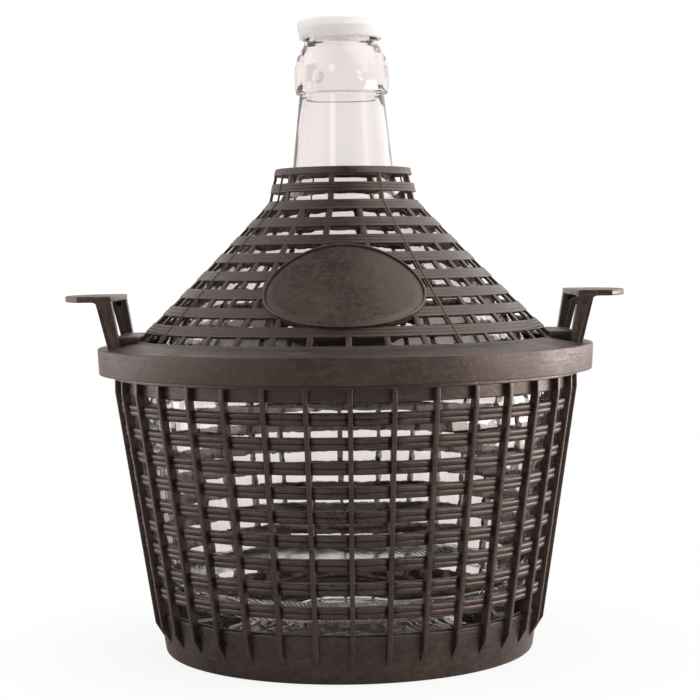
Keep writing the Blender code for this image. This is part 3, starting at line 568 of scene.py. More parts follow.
def rib_section(angle, height, face, back):
    """Outline of a rib at one height: narrower inside, with rounded front corners."""
    half = RIB_WIDTH / 2
    rounding = min(RIB_ROUNDING, (face - back) * ROUNDING_SHARE)
    turns = [math.pi / 2 * step / ROUNDING_STEPS for step in range(ROUNDING_STEPS + 1)]
    side = [(half * RIB_BACK_SHARE, back)]
    side += [(half - rounding * (1 - math.cos(turn)), face - rounding * (1 - math.sin(turn)))
             for turn in turns]
    return [polar(angle, radius, height, shift) for shift, radius in both_sides(side)]


def basket_ribs():
    solid = Solid()
    for index in range(RIB_COUNT):
        angle = rib_angle(index)
        sections = []
        for height in RIB_LEVELS:
            share = min(1.0, (height - RIB_FOOT) / RIB_TAPER)
            in_solid_wall = height < SKIRT_TOP or height > BAND_BOTTOM
            face = hoop_face(height) + RIB_DEPTH * share
            back = hoop_face(height) - (ROOT_DEEP if in_solid_wall else ROOT_SHALLOW)
            sections.append(rib_section(angle, height, face, back))
        solid.loft(sections)
    return solid.make("basket_ribs")


LEG_SPREAD = 71.0  # over both legs of a handle
LEG_DEPTH = 6.5
LEG_WIDTH = 6.2
LEG_WALL = 2.0
LEG_INNER = 113.715
LEG_OUTER = LEG_INNER + LEG_WIDTH
LEG_LEAN = 4.0
LEG_TOP_WIDTH = 8.2
BEND_HEIGHT = COLLAR_EDGE + 1.0
GRIP_THICKNESS = 3.0
GRIP_TOP = COLLAR_EDGE + 27.2
GRIP_BOTTOM = GRIP_TOP - GRIP_THICKNESS
FOOT_TOP = BAND_TOP - CLEARANCE
FOOT_BOTTOM = FOOT_TOP - 3.2
NOTCH_OUTBOARD = 9.0  # the rim's notches run out through the flange
NOTCH_DEPTH = 2.0
SLOT_INBOARD = 2.6  # the collar's slots run further in than the legs
SLOT_LOW = 1.6
CUTTER_RISE = 12.0


def leg_line(height, inner_edge):
    """Place along X of the inner or outer edge of a leg, upright below the bend."""
    share = max(height - BEND_HEIGHT, 0.0) / (GRIP_BOTTOM - BEND_HEIGHT)
    if inner_edge:
        return LEG_INNER + LEG_LEAN * share
    return LEG_OUTER + (LEG_LEAN + LEG_TOP_WIDTH - LEG_WIDTH) * share


LEG_TOP_INNER = leg_line(GRIP_BOTTOM, True)
LEG_TOP_OUTER = leg_line(GRIP_BOTTOM, False)


def leg_cutters(name, inboard, outboard, low):
    """Four openings round the legs, for the collar or for the basket's rim."""
    solid = Solid()
    high = COLLAR_EDGE + CUTTER_RISE
    outline = [(leg_line(height, True) - inboard, height) for height in (low, BEND_HEIGHT, high)]
    outline += [(leg_line(height, False) + outboard, height) for height in (high, BEND_HEIGHT, low)]
    near = LEG_SPREAD / 2 - LEG_DEPTH - CLEARANCE
    far = LEG_SPREAD / 2 + CLEARANCE
    for side in (-1, 1):
        for end in (-1, 1):
            solid.loft([[Vector((side * x, end * y, z)) * MM for x, z in outline]
                        for y in (near, far)])
    return solid.make(name)


def lower_basket(material):
    rings = Solid().spin(base_profile(), SEGMENTS, closed=False)
    for bottom in HOOPS:
        rings.spin(hoop_profile(bottom), HOOP_SEGMENTS, ripple=strand_dip)
    rings.spin(band_profile(), SEGMENTS)
    basket = rings.make("basket_moulding")
    combine(basket, [basket_ribs()])
    notches = leg_cutters("rim_notches", CLEARANCE, NOTCH_OUTBOARD, BAND_TOP - NOTCH_DEPTH)
    combine(basket, [notches], "DIFFERENCE")
    return dress(basket, material)


# Upper cover

COVER_TOP = SEAT + NECK_ROOT[1] + 1.0
KINK_HEIGHT = COVER_TOP - 17.5  # where the steep throat meets the cone
KINK_RADIUS = 39.13
THROAT_FLARE = 4.0
RING_RADIUS = KINK_RADIUS - THROAT_FLARE
RING_BORE = 28.64
RING_HEIGHT = 3.6
CONE_BOTTOM = FOOT_LEVEL + 1.0
CONE_FOOT_INSET = 2.0
CONE_SAG = 0.8  # hollow of the cone's side at its middle
ROW_COUNT = 10
ROW_OPENING = 0.485  # open share of one row
ROW_START = COVER_TOP - RING_HEIGHT
ROW_PITCH = (ROW_START - CONE_BOTTOM) / (ROW_COUNT - 1 + ROW_OPENING)
ROWS = [(ROW_START - ROW_PITCH * row, ROW_START - ROW_PITCH * (row + ROW_OPENING))
        for row in range(ROW_COUNT)]
STRAND_COUNT = 3  # flat strands of one band between two rows
STRAND_FORM = ((0.0, -0.28), (0.12, -0.06), (0.3, 0.0), (0.7, 0.0), (0.88, -0.06))
EDGE_DROP = 0.4  # slanting inner edges of a band
BACK_EDGE = 0.3
RIB_SUNK = 0.4  # ribs lie this far below the bands' faces
CONE_RIB_WIDTH = 3.0
THROAT_RIB_WIDTH = 2.6
CONE_RIB_STEP = 4.4
PARTING_RIBS = (3, 12, 21, 30)  # where the mould's halves met
PARTING_FORM = [(0.5, -0.6), (0.35, 0.05), (0.12, 0.28)]
PARTING_STEPS = 24
PLATE_CENTRE = 189.45
PLATE_HALF = (39.5, 28.0)
PLATE_FACE = 1.0
PLATE_RIM = 1.6
PLATE_ROOT = 2.3
PLATE_SIDES = 96
PLATE_SHARES = (0.85, 0.7, 0.55, 0.4, 0.25, 0.1)
PAD_HALF_LENGTH = 28.0
PAD_RISE = 3.4
PAD_REACH = 8.0


def cone_radius(height):
    if height >= KINK_HEIGHT:
        return RING_RADIUS + THROAT_FLARE * (COVER_TOP - height) / (COVER_TOP - KINK_HEIGHT)
    share = (KINK_HEIGHT - height) / (KINK_HEIGHT - CONE_BOTTOM)
    run = FOOT_RADIUS - CONE_FOOT_INSET - KINK_RADIUS
    return KINK_RADIUS + run * share - 4 * CONE_SAG * share * (1 - share)


def cone_slope(height):
    run = Vector((cone_radius(height + 0.5) - cone_radius(height - 0.5), 1.0))
    return run.normalized()


def cone_shell(height, distance):
    """The point outside (or, when negative, inside) the cone's face at one height."""
    run = cone_slope(height)
    return cone_radius(height) + run.y * distance, height - run.x * distance


def strip_profile(top, bottom):
    """One band of the cone between two rows: three flat strands with two fine grooves."""
    points = []
    for part in range(STRAND_COUNT):
        for share, depth in STRAND_FORM:
            level = top + (bottom - top) * (part + share) / STRAND_COUNT
            points.append(cone_shell(level, depth))
    rest = ((bottom, STRAND_FORM[0][1]), (bottom, BACK_EDGE - COVER_WALL), (bottom + EDGE_DROP, -COVER_WALL),
            (top - EDGE_DROP, -COVER_WALL), (top, BACK_EDGE - COVER_WALL))
    return points + [cone_shell(level, depth) for level, depth in rest]


def top_ring_profile():
    low = ROWS[0][0]
    outline = [(RING_BORE, COVER_TOP), (RING_RADIUS, COVER_TOP), cone_shell(low, 0.0),
               cone_shell(low, -COVER_WALL), (RING_RADIUS - COVER_WALL + 0.2, COVER_TOP - 2.2),
               (RING_BORE, COVER_TOP - COVER_WALL)]
    return soften(outline, (0.5, 0.8, 0.4, 0.3, 0.3, 0.5))


def collar_profile():
    last = ROWS[-1][1]
    low = COLLAR_EDGE - COLLAR_HEIGHT
    outline = [cone_shell(last, 0.0), (FOOT_RADIUS, FOOT_LEVEL), (COLLAR_RADIUS, COLLAR_EDGE),
               (COLLAR_RADIUS - COLLAR_DRAFT, low), (COLLAR_BORE, low),
               (COLLAR_BORE, COLLAR_EDGE - COVER_WALL), (FOOT_RADIUS - 1.0, FOOT_LEVEL - COVER_WALL),
               cone_shell(last, -COVER_WALL)]
    return soften(outline, (0.3, 1.5, 0.9, 0.6, 0.3, 0.5, 0.5, 0.3))


def cone_bar(solid, index, top, bottom, steps, side_at):
    """A bar down the cone on one rib's line. side_at gives half its outline at a level."""
    sections = []
    for step in range(steps + 1):
        level = top + (bottom - top) * step / steps
        section = []
        for shift, depth in both_sides(side_at(level)):
            radius, height = cone_shell(level, depth)
            section.append(polar(rib_angle(index), radius, height, shift))
        sections.append(section)
    solid.loft(sections)


def cone_rib_side(level):
    half = (CONE_RIB_WIDTH if level < KINK_HEIGHT else THROAT_RIB_WIDTH) / 2
    return [(half * RIB_BACK_SHARE, -COVER_WALL + 0.15), (half, -RIB_SUNK - 0.45),
            (half - 0.15, -RIB_SUNK - 0.12), (half - 0.5, -RIB_SUNK)]


def cover_ribs():
    """Nine ribs from the top ring, nine more from row 3 and eighteen from row 6."""
    solid, partings = Solid(), Solid()
    bottom = ROWS[-1][1]
    for index in range(RIB_COUNT):
        if index % 2 == 0:
            top = (ROWS[4][1] + ROWS[5][0]) / 2
        elif index % 4 == 1:
            top = (ROWS[1][1] + ROWS[2][0]) / 2
        else:
            top = ROWS[0][0] + 0.8
        steps = max(6, int((top - bottom + OVERLAP) / CONE_RIB_STEP))
        cone_bar(solid, index, top, bottom - OVERLAP, steps, cone_rib_side)
    for index in PARTING_RIBS:
        cone_bar(partings, index, COVER_TOP - 3.0, bottom + OVERLAP, PARTING_STEPS,
                 lambda level: PARTING_FORM)
    return [solid.make("cover_ribs"), partings.make("parting_lines")]


def plate_frame():
    """Middle of the plate and its directions: up the slope and outward."""
    reach = PLATE_HALF[1]
    run = Vector((cone_radius(PLATE_CENTRE + reach / 2) - cone_radius(PLATE_CENTRE - reach / 2), reach))
    run.normalize()
    return (Vector((0.0, -cone_radius(PLATE_CENTRE), PLATE_CENTRE)),
            Vector((0.0, -run.x, run.y)), Vector((0.0, -run.y, -run.x)))


def on_cone(across, up, distance):
    """The point over one place of the plate, at a distance from the cone's face."""
    middle, along, normal = plate_frame()
    start = middle + Vector((across, 0, 0)) + along * up
    low, high = -40.0, 20.0
    for _ in range(30):
        reach = (low + high) / 2
        spot = start + normal * reach
        gap = (math.hypot(spot.x, spot.y) - cone_radius(spot.z)) * cone_slope(spot.z).y
        if gap > distance:
            high = reach
        else:
            low = reach
    return (start + normal * ((low + high) / 2)) * MM


def oval(wide, tall, distance):
    turns = [2 * math.pi * (step + 0.5) / PLATE_SIDES for step in range(PLATE_SIDES)]
    return [on_cone(wide * math.cos(turn), tall * math.sin(turn), distance) for turn in turns]


def oval_plate():
    """Oval plate that follows the cone, with a raised rounded rim."""
    rings = [(0.0, -PLATE_ROOT), (0.0, PLATE_RIM - 0.45), (0.12, PLATE_RIM - 0.14),
             (0.42, PLATE_RIM), (0.75, PLATE_RIM), (1.02, PLATE_RIM - 0.14),
             (1.14, PLATE_RIM - 0.45), (1.2, PLATE_FACE - 0.25), (1.75, PLATE_FACE - 0.3),
             (2.3, PLATE_FACE)]
    wide, tall = PLATE_HALF
    sections = [oval(wide - inset, tall - inset, distance) for inset, distance in rings]
    sections += [oval(wide * share, tall * share, PLATE_FACE) for share in PLATE_SHARES]
    return Solid().loft(sections).make("oval_plate")


def handle_pads():
    """Raised landings of the collar where the handles stand."""
    top = FOOT_LEVEL + PAD_RISE
    root = cone_radius(top) - COVER_WALL + OVERLAP
    reach = FOOT_RADIUS + PAD_REACH
    outline = [(root, top), (reach, top), (reach + 1.0, COLLAR_EDGE - CLEARANCE),
               (root, FOOT_LEVEL - OVERLAP)]
    solid = Solid()
    for side in (-1, 1):
        solid.loft([[Vector((side * x, y, z)) * MM for x, z in outline]
                    for y in (-PAD_HALF_LENGTH, PAD_HALF_LENGTH)])
    return rounded(solid.make("handle_pads"), 1.3)


def upper_cover(material):
    rings = Solid().spin(top_ring_profile(), SEGMENTS)
    for (_, low), (high, _) in zip(ROWS, ROWS[1:]):
        rings.spin(strip_profile(low, high), SEGMENTS)
    rings.spin(collar_profile(), SEGMENTS)
    cover = rings.make("cover_moulding")
    for part in (*cover_ribs(), handle_pads(), oval_plate()):
        combine(cover, [part])
    slots = leg_cutters("collar_slots", SLOT_INBOARD, CLEARANCE, BAND_TOP + SLOT_LOW)
    combine(cover, [slots], "DIFFERENCE")
    return dress(cover, material)


# Handles

GRIP_REACH = 27.4  # of the arched outer edge, at its middle and at its ends
GRIP_END_REACH = 17.1
GRIP_STEPS = 24
GRIP_EDGE = 0.6
LEG_EDGE = 0.35
LIP_WIDTH = 2.2
LIP_SETBACK = 1.2
INNER_WALL = 1.2  # closes the leg's face toward the other leg
FILLET = 4.0
FILLET_TURNS = (0, 15, 30, 45, 60, 75)
FOOT_HOOK = 1.1
NUB_HEIGHT = 5.5
NUB_REACH = 5.2
NUB_POINT = 1.8
NUB_INSET = 0.3


def prism(name, outline, spot, ends, edges):
    """A body between two like faces. spot places a point of the outline at one end."""
    thing = Solid().loft([[spot(point, end) for point in outline] for end in ends]).make(name)
    return rounded(thing, edges) if edges else thing


def slab(name, outline, low, high):
    """A prism between two places along Y."""
    return prism(name, outline, lambda point, y: Vector((point[0], y, point[1])) * MM,
                 (low, high), LEG_EDGE)


def plate(name, outline, low, high, edges):
    """A prism between two heights."""
    return prism(name, outline, lambda point, z: Vector((*point, z)) * MM, (low, high), edges)


def leg_outlines():
    """Side views of a leg, from its foot to the grip: web, outer lip and inner flange."""
    web_edge = LEG_OUTER - LIP_WIDTH
    arc_x = LEG_TOP_OUTER - LIP_WIDTH + FILLET
    arc_z = GRIP_BOTTOM - FILLET
    top = GRIP_BOTTOM + OVERLAP
    web = [(LEG_INNER, FOOT_BOTTOM), (LEG_INNER, BEND_HEIGHT), (LEG_TOP_INNER, top), (arc_x, top)]
    web += [(arc_x - FILLET * math.sin(math.radians(turn)),
             arc_z + FILLET * math.cos(math.radians(turn))) for turn in FILLET_TURNS]
    web += [(leg_line(arc_z, False) - LIP_WIDTH, arc_z), (web_edge, BEND_HEIGHT),
            (web_edge, FOOT_BOTTOM)]
    low = FOOT_BOTTOM + OVERLAP
    lip_edge = web_edge - OVERLAP
    lip = [(lip_edge, low), (lip_edge, BEND_HEIGHT), (LEG_TOP_OUTER - LIP_WIDTH - OVERLAP, top),
           (LEG_TOP_OUTER, top), (LEG_OUTER, BEND_HEIGHT), (LEG_OUTER, low)]
    flange = [(LEG_INNER, low), (LEG_INNER, BEND_HEIGHT), (LEG_TOP_INNER, top),
              (LEG_TOP_INNER + LEG_WALL, top), (LEG_INNER + LEG_WALL, BEND_HEIGHT),
              (LEG_INNER + LEG_WALL, low)]
    return web, lip, flange


def grip_outline():
    """Plan of the grip: a straight inner edge and an outer edge arched outward."""
    spread = LEG_SPREAD / 2
    sag = GRIP_REACH - GRIP_END_REACH
    radius = (spread ** 2 + sag ** 2) / (2 * sag)
    middle = LEG_TOP_INNER + GRIP_REACH - radius
    half_turn = math.asin(spread / radius)
    turns = [half_turn * step / GRIP_STEPS for step in range(-GRIP_STEPS, GRIP_STEPS + 1)]
    arch = [(middle + radius * math.cos(turn), radius * math.sin(turn)) for turn in turns]
    return [(LEG_TOP_INNER, -spread)] + arch + [(LEG_TOP_INNER, spread)]


def handle(name, side, material, nub=False):
    """A flat arched grip on two channel-shaped legs with hooked feet."""
    spread = LEG_SPREAD / 2
    web, lip, flange = leg_outlines()
    foot = [(LEG_INNER + OVERLAP, FOOT_BOTTOM), (LEG_INNER + OVERLAP, FOOT_TOP),
            (LEG_OUTER - OVERLAP, FOOT_TOP), (LEG_OUTER - OVERLAP, FOOT_BOTTOM)]
    grip = plate(name, grip_outline(), GRIP_BOTTOM, GRIP_TOP, GRIP_EDGE)
    pieces = []
    for end in (-1, 1):
        for label, outline, start, depth in (
                ("web", web, 0.0, LEG_WALL),
                ("lip", lip, LIP_SETBACK, LEG_DEPTH - LIP_SETBACK),
                ("flange", flange, OVERLAP, LEG_DEPTH - OVERLAP),
                ("inner", web, LEG_DEPTH - INNER_WALL, INNER_WALL),
                ("foot", foot, -FOOT_HOOK, LEG_DEPTH + 2 * FOOT_HOOK)):
            places = sorted((end * (spread - start), end * (spread - start - depth)))
            pieces.append(slab(f"{name}_{label}_{end + 1}", outline, *places))
    if nub:
        root = LEG_TOP_INNER + LEG_WALL / 2
        outline = [(root, GRIP_BOTTOM - NUB_HEIGHT), (root - NUB_REACH, GRIP_BOTTOM - NUB_POINT),
                   (root, GRIP_BOTTOM + OVERLAP)]
        pieces.append(slab(name + "_nub", outline, NUB_INSET - spread, LEG_WALL - spread))

    # The legs' channels open through the grip
    slots = []
    slot_in = LEG_TOP_INNER + LEG_WALL + CLEARANCE
    slot_out = LEG_TOP_OUTER - LIP_WIDTH - OVERLAP - CLEARANCE
    for end in (-1, 1):
        near = end * (spread - LEG_WALL - CLEARANCE)
        far = end * (spread - LEG_DEPTH)
        outline = [(slot_in, near), (slot_out, near), (slot_out, far), (slot_in, far)]
        slots.append(plate(f"{name}_slot_{end + 1}", outline, GRIP_BOTTOM - GRIP_THICKNESS,
                           GRIP_TOP + GRIP_THICKNESS, 0.0))
    combine(grip, pieces)
    combine(grip, slots, "DIFFERENCE")
    if side < 0:
        grip.data.transform(Matrix.Scale(-1.0, 4, Vector((1.0, 0.0, 0.0))))
        grip.data.flip_normals()
    return dress(grip, material)


# Bottle and cap

GLASS_STEP = 0.7  # the finish is divided down to about this
NECK_STEPS = 6
PUNT = [(0.0, 14.0), (20.0, 13.2), (38.0, 10.2), (56.0, 5.2), (66.0, 1.0)]
PUNT_INSIDE = [(78.0, 6.2), (69.0, 5.0), (56.0, 9.8), (38.0, 15.0), (20.0, 18.0), (0.0, 19.0)]
LINING_LOW = 9.0  # below it the inside follows the punt
BORE_LOW = 303.0  # where the mouth's bore begins to widen into the neck
NECK_INSIDE = (19.3, 276.0)
RIPPLE_LOW = 30.0  # the glass is uneven between these heights
RIPPLE_HIGH = 311.0
RIPPLE_RADIUS = 17.0  # and outside this radius on its outer face
BOSSES = ((-29.0, 295.2), (18.0, 294.8))
BOSS_RADIUS = 3.0
BOSS_RISE = 1.1
CAP_TOP_RADIUS = 22.5
CAP_THICKNESS = 3.6
CAP_EDGE_HEIGHT = 4.2  # upright, above the slanting skirt
CAP_SKIRT_HEIGHT = 6.2
CAP_SKIRT_WALL = 2.4
PLUG_LENGTH = 9.0
PLUG_WALL = 1.6
DISH_DEPTH = 0.12  # shallow dish in the cap's top, with a deeper gate mark
DISH_RADIUS = 17.6
GATE_MARK_DEPTH = 0.25
GATE_MARK_RADIUS = 2.0


def glass_outline():
    """Outer run of the bottle from its standing ring to the mouth."""
    slope = Vector((NECK_ROOT[0] - BELLY[0], NECK_ROOT[1] - BELLY[1])).normalized()
    reach = HEEL[0] - BASE[0]
    rise = BELLY[1] - HEEL[1]
    drop = SHOULDER[1] - BELLY[1]
    climb = NECK_ROOT[1] - SHOULDER[1]
    points = [BASE]
    points += curve(BASE, (BASE[0] + 0.7 * reach, 0.0), (HEEL[0] - 0.2 * reach, 0.55 * HEEL[1]), HEEL, 12)
    points += curve(HEEL, (HEEL[0] + 0.25 * reach, HEEL[1] + 0.35 * rise),
                    (BELLY[0], BELLY[1] - 0.4 * rise), BELLY, 12)
    points += curve(BELLY, (BELLY[0], BELLY[1] + 0.55 * drop),
                    (SHOULDER[0] - slope.x * 0.3 * drop, SHOULDER[1] - slope.y * 0.3 * drop), SHOULDER, 14)
    points += curve(SHOULDER, (SHOULDER[0] + slope.x * 0.5 * climb, SHOULDER[1] + slope.y * 0.5 * climb),
                    (NECK_ROOT[0] + 2.0, NECK_ROOT[1] - 0.3 * climb), NECK_ROOT, 14)
    points += [tuple(root + (top - root) * step / NECK_STEPS for root, top in zip(NECK_ROOT, NECK_TOP))
               for step in range(1, NECK_STEPS)]

    ring = NECK_TOP[1]
    finish = [NECK_TOP, (FINISH_RADIUS - 0.6, ring + 0.6), (FINISH_RADIUS, ring + 6.0),
              (FINISH_RADIUS + 0.1, ring + 10.0), (FINISH_RADIUS - 0.2, ring + 14.0),
              (FINISH_RADIUS - 1.7, FINISH_TOP), (LIP_RADIUS + 0.9, FINISH_TOP + 5.2),
              (LIP_RADIUS, FINISH_TOP + 9.5), (LIP_RADIUS, MOUTH_HEIGHT), (LIP_RADIUS - 1.5, MOUTH_HEIGHT)]
    softer = soften([points[-1], *finish, (LIP_RADIUS - 2.7, MOUTH_HEIGHT)],
                    (0, 0.8, 1.4, 3.0, 3.0, 3.5, 5.0, 4.0, 1.0, 0.9, 0, 0), closed=False)
    return points + finer(softer[1:-1], GLASS_STEP)


def finer(profile, step):
    """The profile with its long stretches divided."""
    points = [profile[0]]
    for (r0, z0), (r1, z1) in zip(profile, profile[1:]):
        count = max(1, int(math.hypot(r1 - r0, z1 - z0) / step))
        points += [(r0 + (r1 - r0) * index / count, z0 + (z1 - z0) * index / count)
                   for index in range(1, count + 1)]
    return points


def offset_inward(profile, distance):
    """The profile moved towards the axis, square to its own run."""
    moved = []
    for index, (radius, height) in enumerate(profile):
        before = profile[max(index - 1, 0)]
        after = profile[min(index + 1, len(profile) - 1)]
        run = Vector((after[0] - before[0], after[1] - before[1])).normalized()
        moved.append((radius - run.y * distance, height + run.x * distance))
    return moved


def glass_ripple(angle, radius, height):
    """The small unevenness of blown glass, on its outer face."""
    if radius < RIPPLE_RADIUS or not RIPPLE_LOW <= height <= RIPPLE_HIGH:
        return 0.0
    spot = Vector((math.cos(angle) * 2.2, math.sin(angle) * 2.2, height * 0.012))
    return 0.22 * noise.noise(spot) + 0.05 * noise.noise(spot * 3.1)


def lining_ripple(angle, height):
    """The unevenness of its inner face."""
    if not RIPPLE_LOW <= height <= RIPPLE_HIGH:
        return 0.0
    spot = Vector((math.cos(angle) * 2.8 + 9.0, math.sin(angle) * 2.8, height * 0.01))
    return 0.35 * noise.noise(spot)


def bosses(angle, radius, height):
    """Two plain round bosses on the front of the neck's ring."""
    lift = 0.0
    for turn, level in BOSSES:
        aside = math.remainder(angle - math.radians(turn - 90.0), 2 * math.pi)
        away = math.hypot(radius * aside, height - level)
        lift += BOSS_RISE * math.sqrt(max(0.0, 1 - (away / BOSS_RADIUS) ** 2))
    return lift


def bottle(material):
    """The blown glass, from its punted base to its bulging finish."""
    outside = [(radius, height + SEAT) for radius, height in glass_outline()]
    underside = [(radius, height + SEAT) for radius, height in (*PUNT, (BASE[0] - BASE_RING_WIDTH, 0.0))]
    body = [point for point in outside if point[1] < SEAT + NECK_ROOT[1] + 2.0]
    lining = [point for point in offset_inward(body, GLASS_WALL) if point[1] > SEAT + LINING_LOW]
    mouth = outside[-1][1]
    bore_end = (BORE_RADIUS, BORE_LOW)
    inside = [(BORE_RADIUS + 1.2, mouth), (BORE_RADIUS + 0.4, mouth - 0.5),
              (BORE_RADIUS, mouth - 1.4), bore_end]
    inside += curve(bore_end, (BORE_RADIUS, BORE_LOW - 8.0), (NECK_INSIDE[0] - 0.7, NECK_INSIDE[1] + 10.0),
                    NECK_INSIDE, 12)
    inside += list(reversed(lining))
    inside += [(radius, height + SEAT) for radius, height in PUNT_INSIDE]
    outer_points = set(underside + outside)

    def ripple(angle, radius, height):
        if (radius, height) in outer_points:
            return glass_ripple(angle, radius, height) + bosses(angle, radius, height)
        return lining_ripple(angle, height)

    glass = Solid().spin(underside + outside + inside, GLASS_SEGMENTS, closed=False, ripple=ripple)
    thing = glass.make("bottle_glass", sharp=50.0)
    thing.data.materials.append(material)
    thing.visible_shadow = False
    return thing


def cap(material):
    """Press-on cap: a skirt over the lip and a hollow plug in the bore."""
    roof = SEAT + MOUTH_HEIGHT + CLEARANCE
    top = roof + CAP_THICKNESS
    low = roof - CAP_SKIRT_HEIGHT
    skirt = LIP_RADIUS + CLEARANCE
    plug = BORE_RADIUS - CLEARANCE
    outline = [(0.0, top), (CAP_TOP_RADIUS, top), (CAP_TOP_RADIUS, top - CAP_EDGE_HEIGHT),
               (skirt + CAP_SKIRT_WALL, low), (skirt, low), (skirt, roof), (plug, roof),
               (plug, roof - PLUG_LENGTH + 1.0), (plug - 0.8, roof - PLUG_LENGTH),
               (plug - PLUG_WALL, roof - PLUG_LENGTH), (plug - PLUG_WALL, roof), (0.0, roof)]
    profile = soften(outline, (0, 1.5, 0.8, 0.6, 0.3, 0.3, 0.2, 0.3, 0.2, 0.2, 0.2, 0), closed=False)
    dish = [(0.0, top - GATE_MARK_DEPTH), (GATE_MARK_RADIUS, top - GATE_MARK_DEPTH),
            (GATE_MARK_RADIUS + 0.4, top - DISH_DEPTH), (DISH_RADIUS, top - DISH_DEPTH),
            (DISH_RADIUS + 0.8, top)]
    thing = Solid().spin(dish + profile[1:], CAP_SEGMENTS, closed=False).make("press_cap")
    thing.data.materials.append(material)
    return thing


# Assembly

def place(piece, body, node):
    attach(piece, body)
    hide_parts(node)


basket_plastic = brown_plastic("basket_plastic", 0.30, 1, (110.0, 110.0, 650.0), depth=1.1)
cover_plastic = brown_plastic("cover_plastic", 0.38, 2, (55.0, 55.0, 700.0))
left_plastic = brown_plastic("left_handle_plastic", 0.34, 3)
right_plastic = brown_plastic("right_handle_plastic", 0.34, 4)
place(lower_basket(basket_plastic), "vessel", "lower_basket")
place(upper_cover(cover_plastic), "vessel", "upper_cover")
place(handle("grip_left", -1, left_plastic), "vessel", "handle_left")
place(handle("grip_right", 1, right_plastic, nub=True), "vessel", "handle_right")
place(bottle(clear_glass()), "vessel", "bottle")
place(cap(cap_plastic()), "closure", "cap")


# Floor, light and camera

FLOOR_REACH = 4.0
FLOOR_COLOUR = (0.48, 0.47, 0.47, 1.0)
GLASS_GLOW = (0.95, 0.89, 0.87)
GLOW_NEAR, GLOW_FAR = 0.09, 0.20  # the glow grows from GLOW_LEAST to full between them
GLOW_LEAST = 0.88


def floor():
    """White from the camera and through the glass, with a soft shadow."""
    mesh = bpy.data.meshes.new("studio_floor")
    corners = [(x * FLOOR_REACH, y * FLOOR_REACH, 0) for x, y in ((-1, -1), (1, -1), (1, 1), (-1, 1))]
    mesh.from_pydata(corners, [], [(0, 1, 2, 3)])
    thing = bpy.data.objects.new("studio_floor", mesh)
    bpy.context.collection.objects.link(thing)
    material, shader, nodes = principled(
        "studio_floor", Base_Color=FLOOR_COLOUR, Roughness=0.9, Specular_IOR_Level=0.1)
    path = nodes.new("ShaderNodeLightPath").outputs
    glow = nodes.new("ShaderNodeEmission")
    nodes.link(nodes.mix(path["Is Camera Ray"], GLASS_GLOW, (1.0, 1.0, 1.0)), glow.inputs["Color"])
    seen = nodes.math("MAXIMUM", path["Is Camera Ray"], path["Is Transmission Ray"])
    away = nodes.new("ShaderNodeVectorMath", operation="LENGTH")
    nodes.link(nodes.spot, away.inputs[0])
    share = nodes.spread(away.outputs["Value"], GLOW_NEAR, GLOW_FAR, GLOW_LEAST, 1.0)
    mix = nodes.new("ShaderNodeMixShader")
    nodes.link(nodes.math("MULTIPLY", seen, share), mix.inputs[0])
    nodes.link(shader.outputs[0], mix.inputs[1])
    nodes.link(glow.outputs[0], mix.inputs[2])
    nodes.link(mix.outputs[0], material.node_tree.nodes["Material Output"].inputs["Surface"])
    mesh.materials.append(material)


# The world's lobes: direction, the cosines between which each rises, and its two levels
SKY = [((0.0, 1.0, 0.0), -0.1, 0.7, 0.06, 1.0),
       ((0.62, -0.28, 0.74), 0.74, 1.0, 0.0, 3.1),
       ((-0.70, -0.18, 0.69), 0.75, 1.0, 0.0, 0.9),
       ((-0.38, -0.88, 0.30), 0.984, 1.0, 0.0, 4.0),
       ((0.79, -0.50, 0.30), 0.980, 1.0, 0.0, 2.0),
       ((0.95, 0.05, 0.10), 0.20, 0.95, 0.0, 1.7),
       ((-0.96, -0.20, 0.12), 0.45, 0.97, 0.0, 1.5)]
THROUGH_GLASS = ((0.5, 0.87, 0.0), -0.4, 1.0, 0.66, 0.97)
SKY_COLOUR = (1.0, 0.945, 0.925, 1.0)
CAMERA_LEVEL = 1.1


def studio_world():
    """White to the camera, one wide lobe to rays through glass, and the sum of SKY to the rest."""
    world = bpy.data.worlds.new("studio")
    bpy.context.scene.world = world
    world.use_nodes = True
    nodes = Nodes(world, "Generated")

    def lobe(toward, low, high, to_low, to_high):
        dot = nodes.new("ShaderNodeVectorMath", operation="DOT_PRODUCT")
        dot.inputs[1].default_value = Vector(toward).normalized()
        nodes.link(nodes.spot, dot.inputs[0])
        return nodes.spread(dot.outputs["Value"], low, high, to_low, to_high, "SMOOTHSTEP")

    light = lobe(*SKY[0])
    for values in SKY[1:]:
        light = nodes.math("ADD", light, lobe(*values))
    path = nodes.new("ShaderNodeLightPath").outputs
    level = nodes.mix(path["Is Transmission Ray"], light, lobe(*THROUGH_GLASS), "FLOAT")
    level = nodes.mix(path["Is Camera Ray"], level, CAMERA_LEVEL, "FLOAT")
    background = world.node_tree.nodes["Background"]
    nodes.link(level, background.inputs["Strength"])
    background.inputs["Color"].default_value = SKY_COLOUR


LAMP_COLOUR = (1.0, 0.90, 0.86)


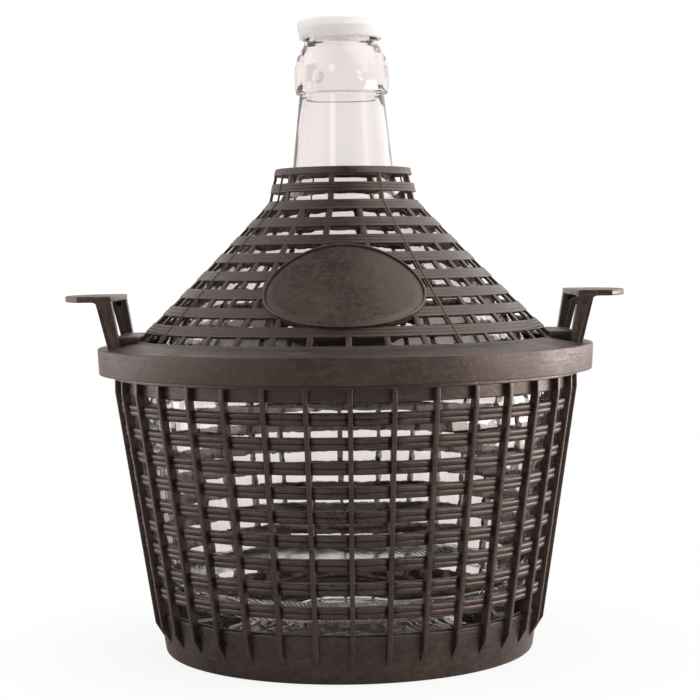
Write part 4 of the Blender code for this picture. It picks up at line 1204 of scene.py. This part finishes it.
def area_light(name, spot, aim, size, watts):
    """A soft panel that neither the camera nor a ray through the glass sees."""
    data = bpy.data.lights.new(name, "AREA")
    data.shape = "ELLIPSE"
    data.size, data.size_y = size
    data.energy = watts
    data.color = LAMP_COLOUR
    lamp = bpy.data.objects.new(name, data)
    lamp.location = spot
    lamp.rotation_euler = (Vector(aim) - Vector(spot)).to_track_quat("-Z", "Y").to_euler()
    lamp.visible_camera = False
    lamp.visible_transmission = False
    bpy.context.collection.objects.link(lamp)


# The camera, fitted to the photograph's outline
PHOTO_WIDTH = 700.0  # pixels
FOCAL_LENGTH = 1854.1  # pixels
SENSOR_WIDTH = 36.0
CAMERA_PLACE = (1.92, -968.3, 204.0)
CAMERA_TURNS = (-0.028, -2.902, -0.811)  # degrees of yaw, pitch and roll


def camera():
    data = bpy.data.cameras.new("photo_camera")
    data.sensor_width = SENSOR_WIDTH
    data.lens = FOCAL_LENGTH / PHOTO_WIDTH * SENSOR_WIDTH
    thing = bpy.data.objects.new("photo_camera", data)
    bpy.context.collection.objects.link(thing)
    yaw, pitch, roll = (math.radians(turn) for turn in CAMERA_TURNS)
    right = Vector((math.cos(yaw), math.sin(yaw), 0))
    ahead = Vector((-math.sin(yaw), math.cos(yaw), 0))
    look = ahead * math.cos(pitch) + Vector((0, 0, math.sin(pitch)))
    up = Vector((0, 0, math.cos(pitch))) - ahead * math.sin(pitch)
    across = right * math.cos(roll) + up * math.sin(roll)
    above = up * math.cos(roll) - right * math.sin(roll)
    turned = Matrix((across, above, -look)).transposed().to_4x4()
    thing.matrix_world = Matrix.Translation(Vector(CAMERA_PLACE) * MM) @ turned
    bpy.context.scene.camera = thing


floor()
studio_world()
area_light("right_panel", spot=(1.0, 0.08, 0.12), aim=(0.0, 0.08, 0.12), size=(1.6, 0.24), watts=9.0)
area_light("left_panel", spot=(-1.0, 0.10, 0.12), aim=(0.0, 0.10, 0.12), size=(1.5, 0.24), watts=2.4)
camera()
bpy.context.scene.view_settings.view_transform = "Standard"
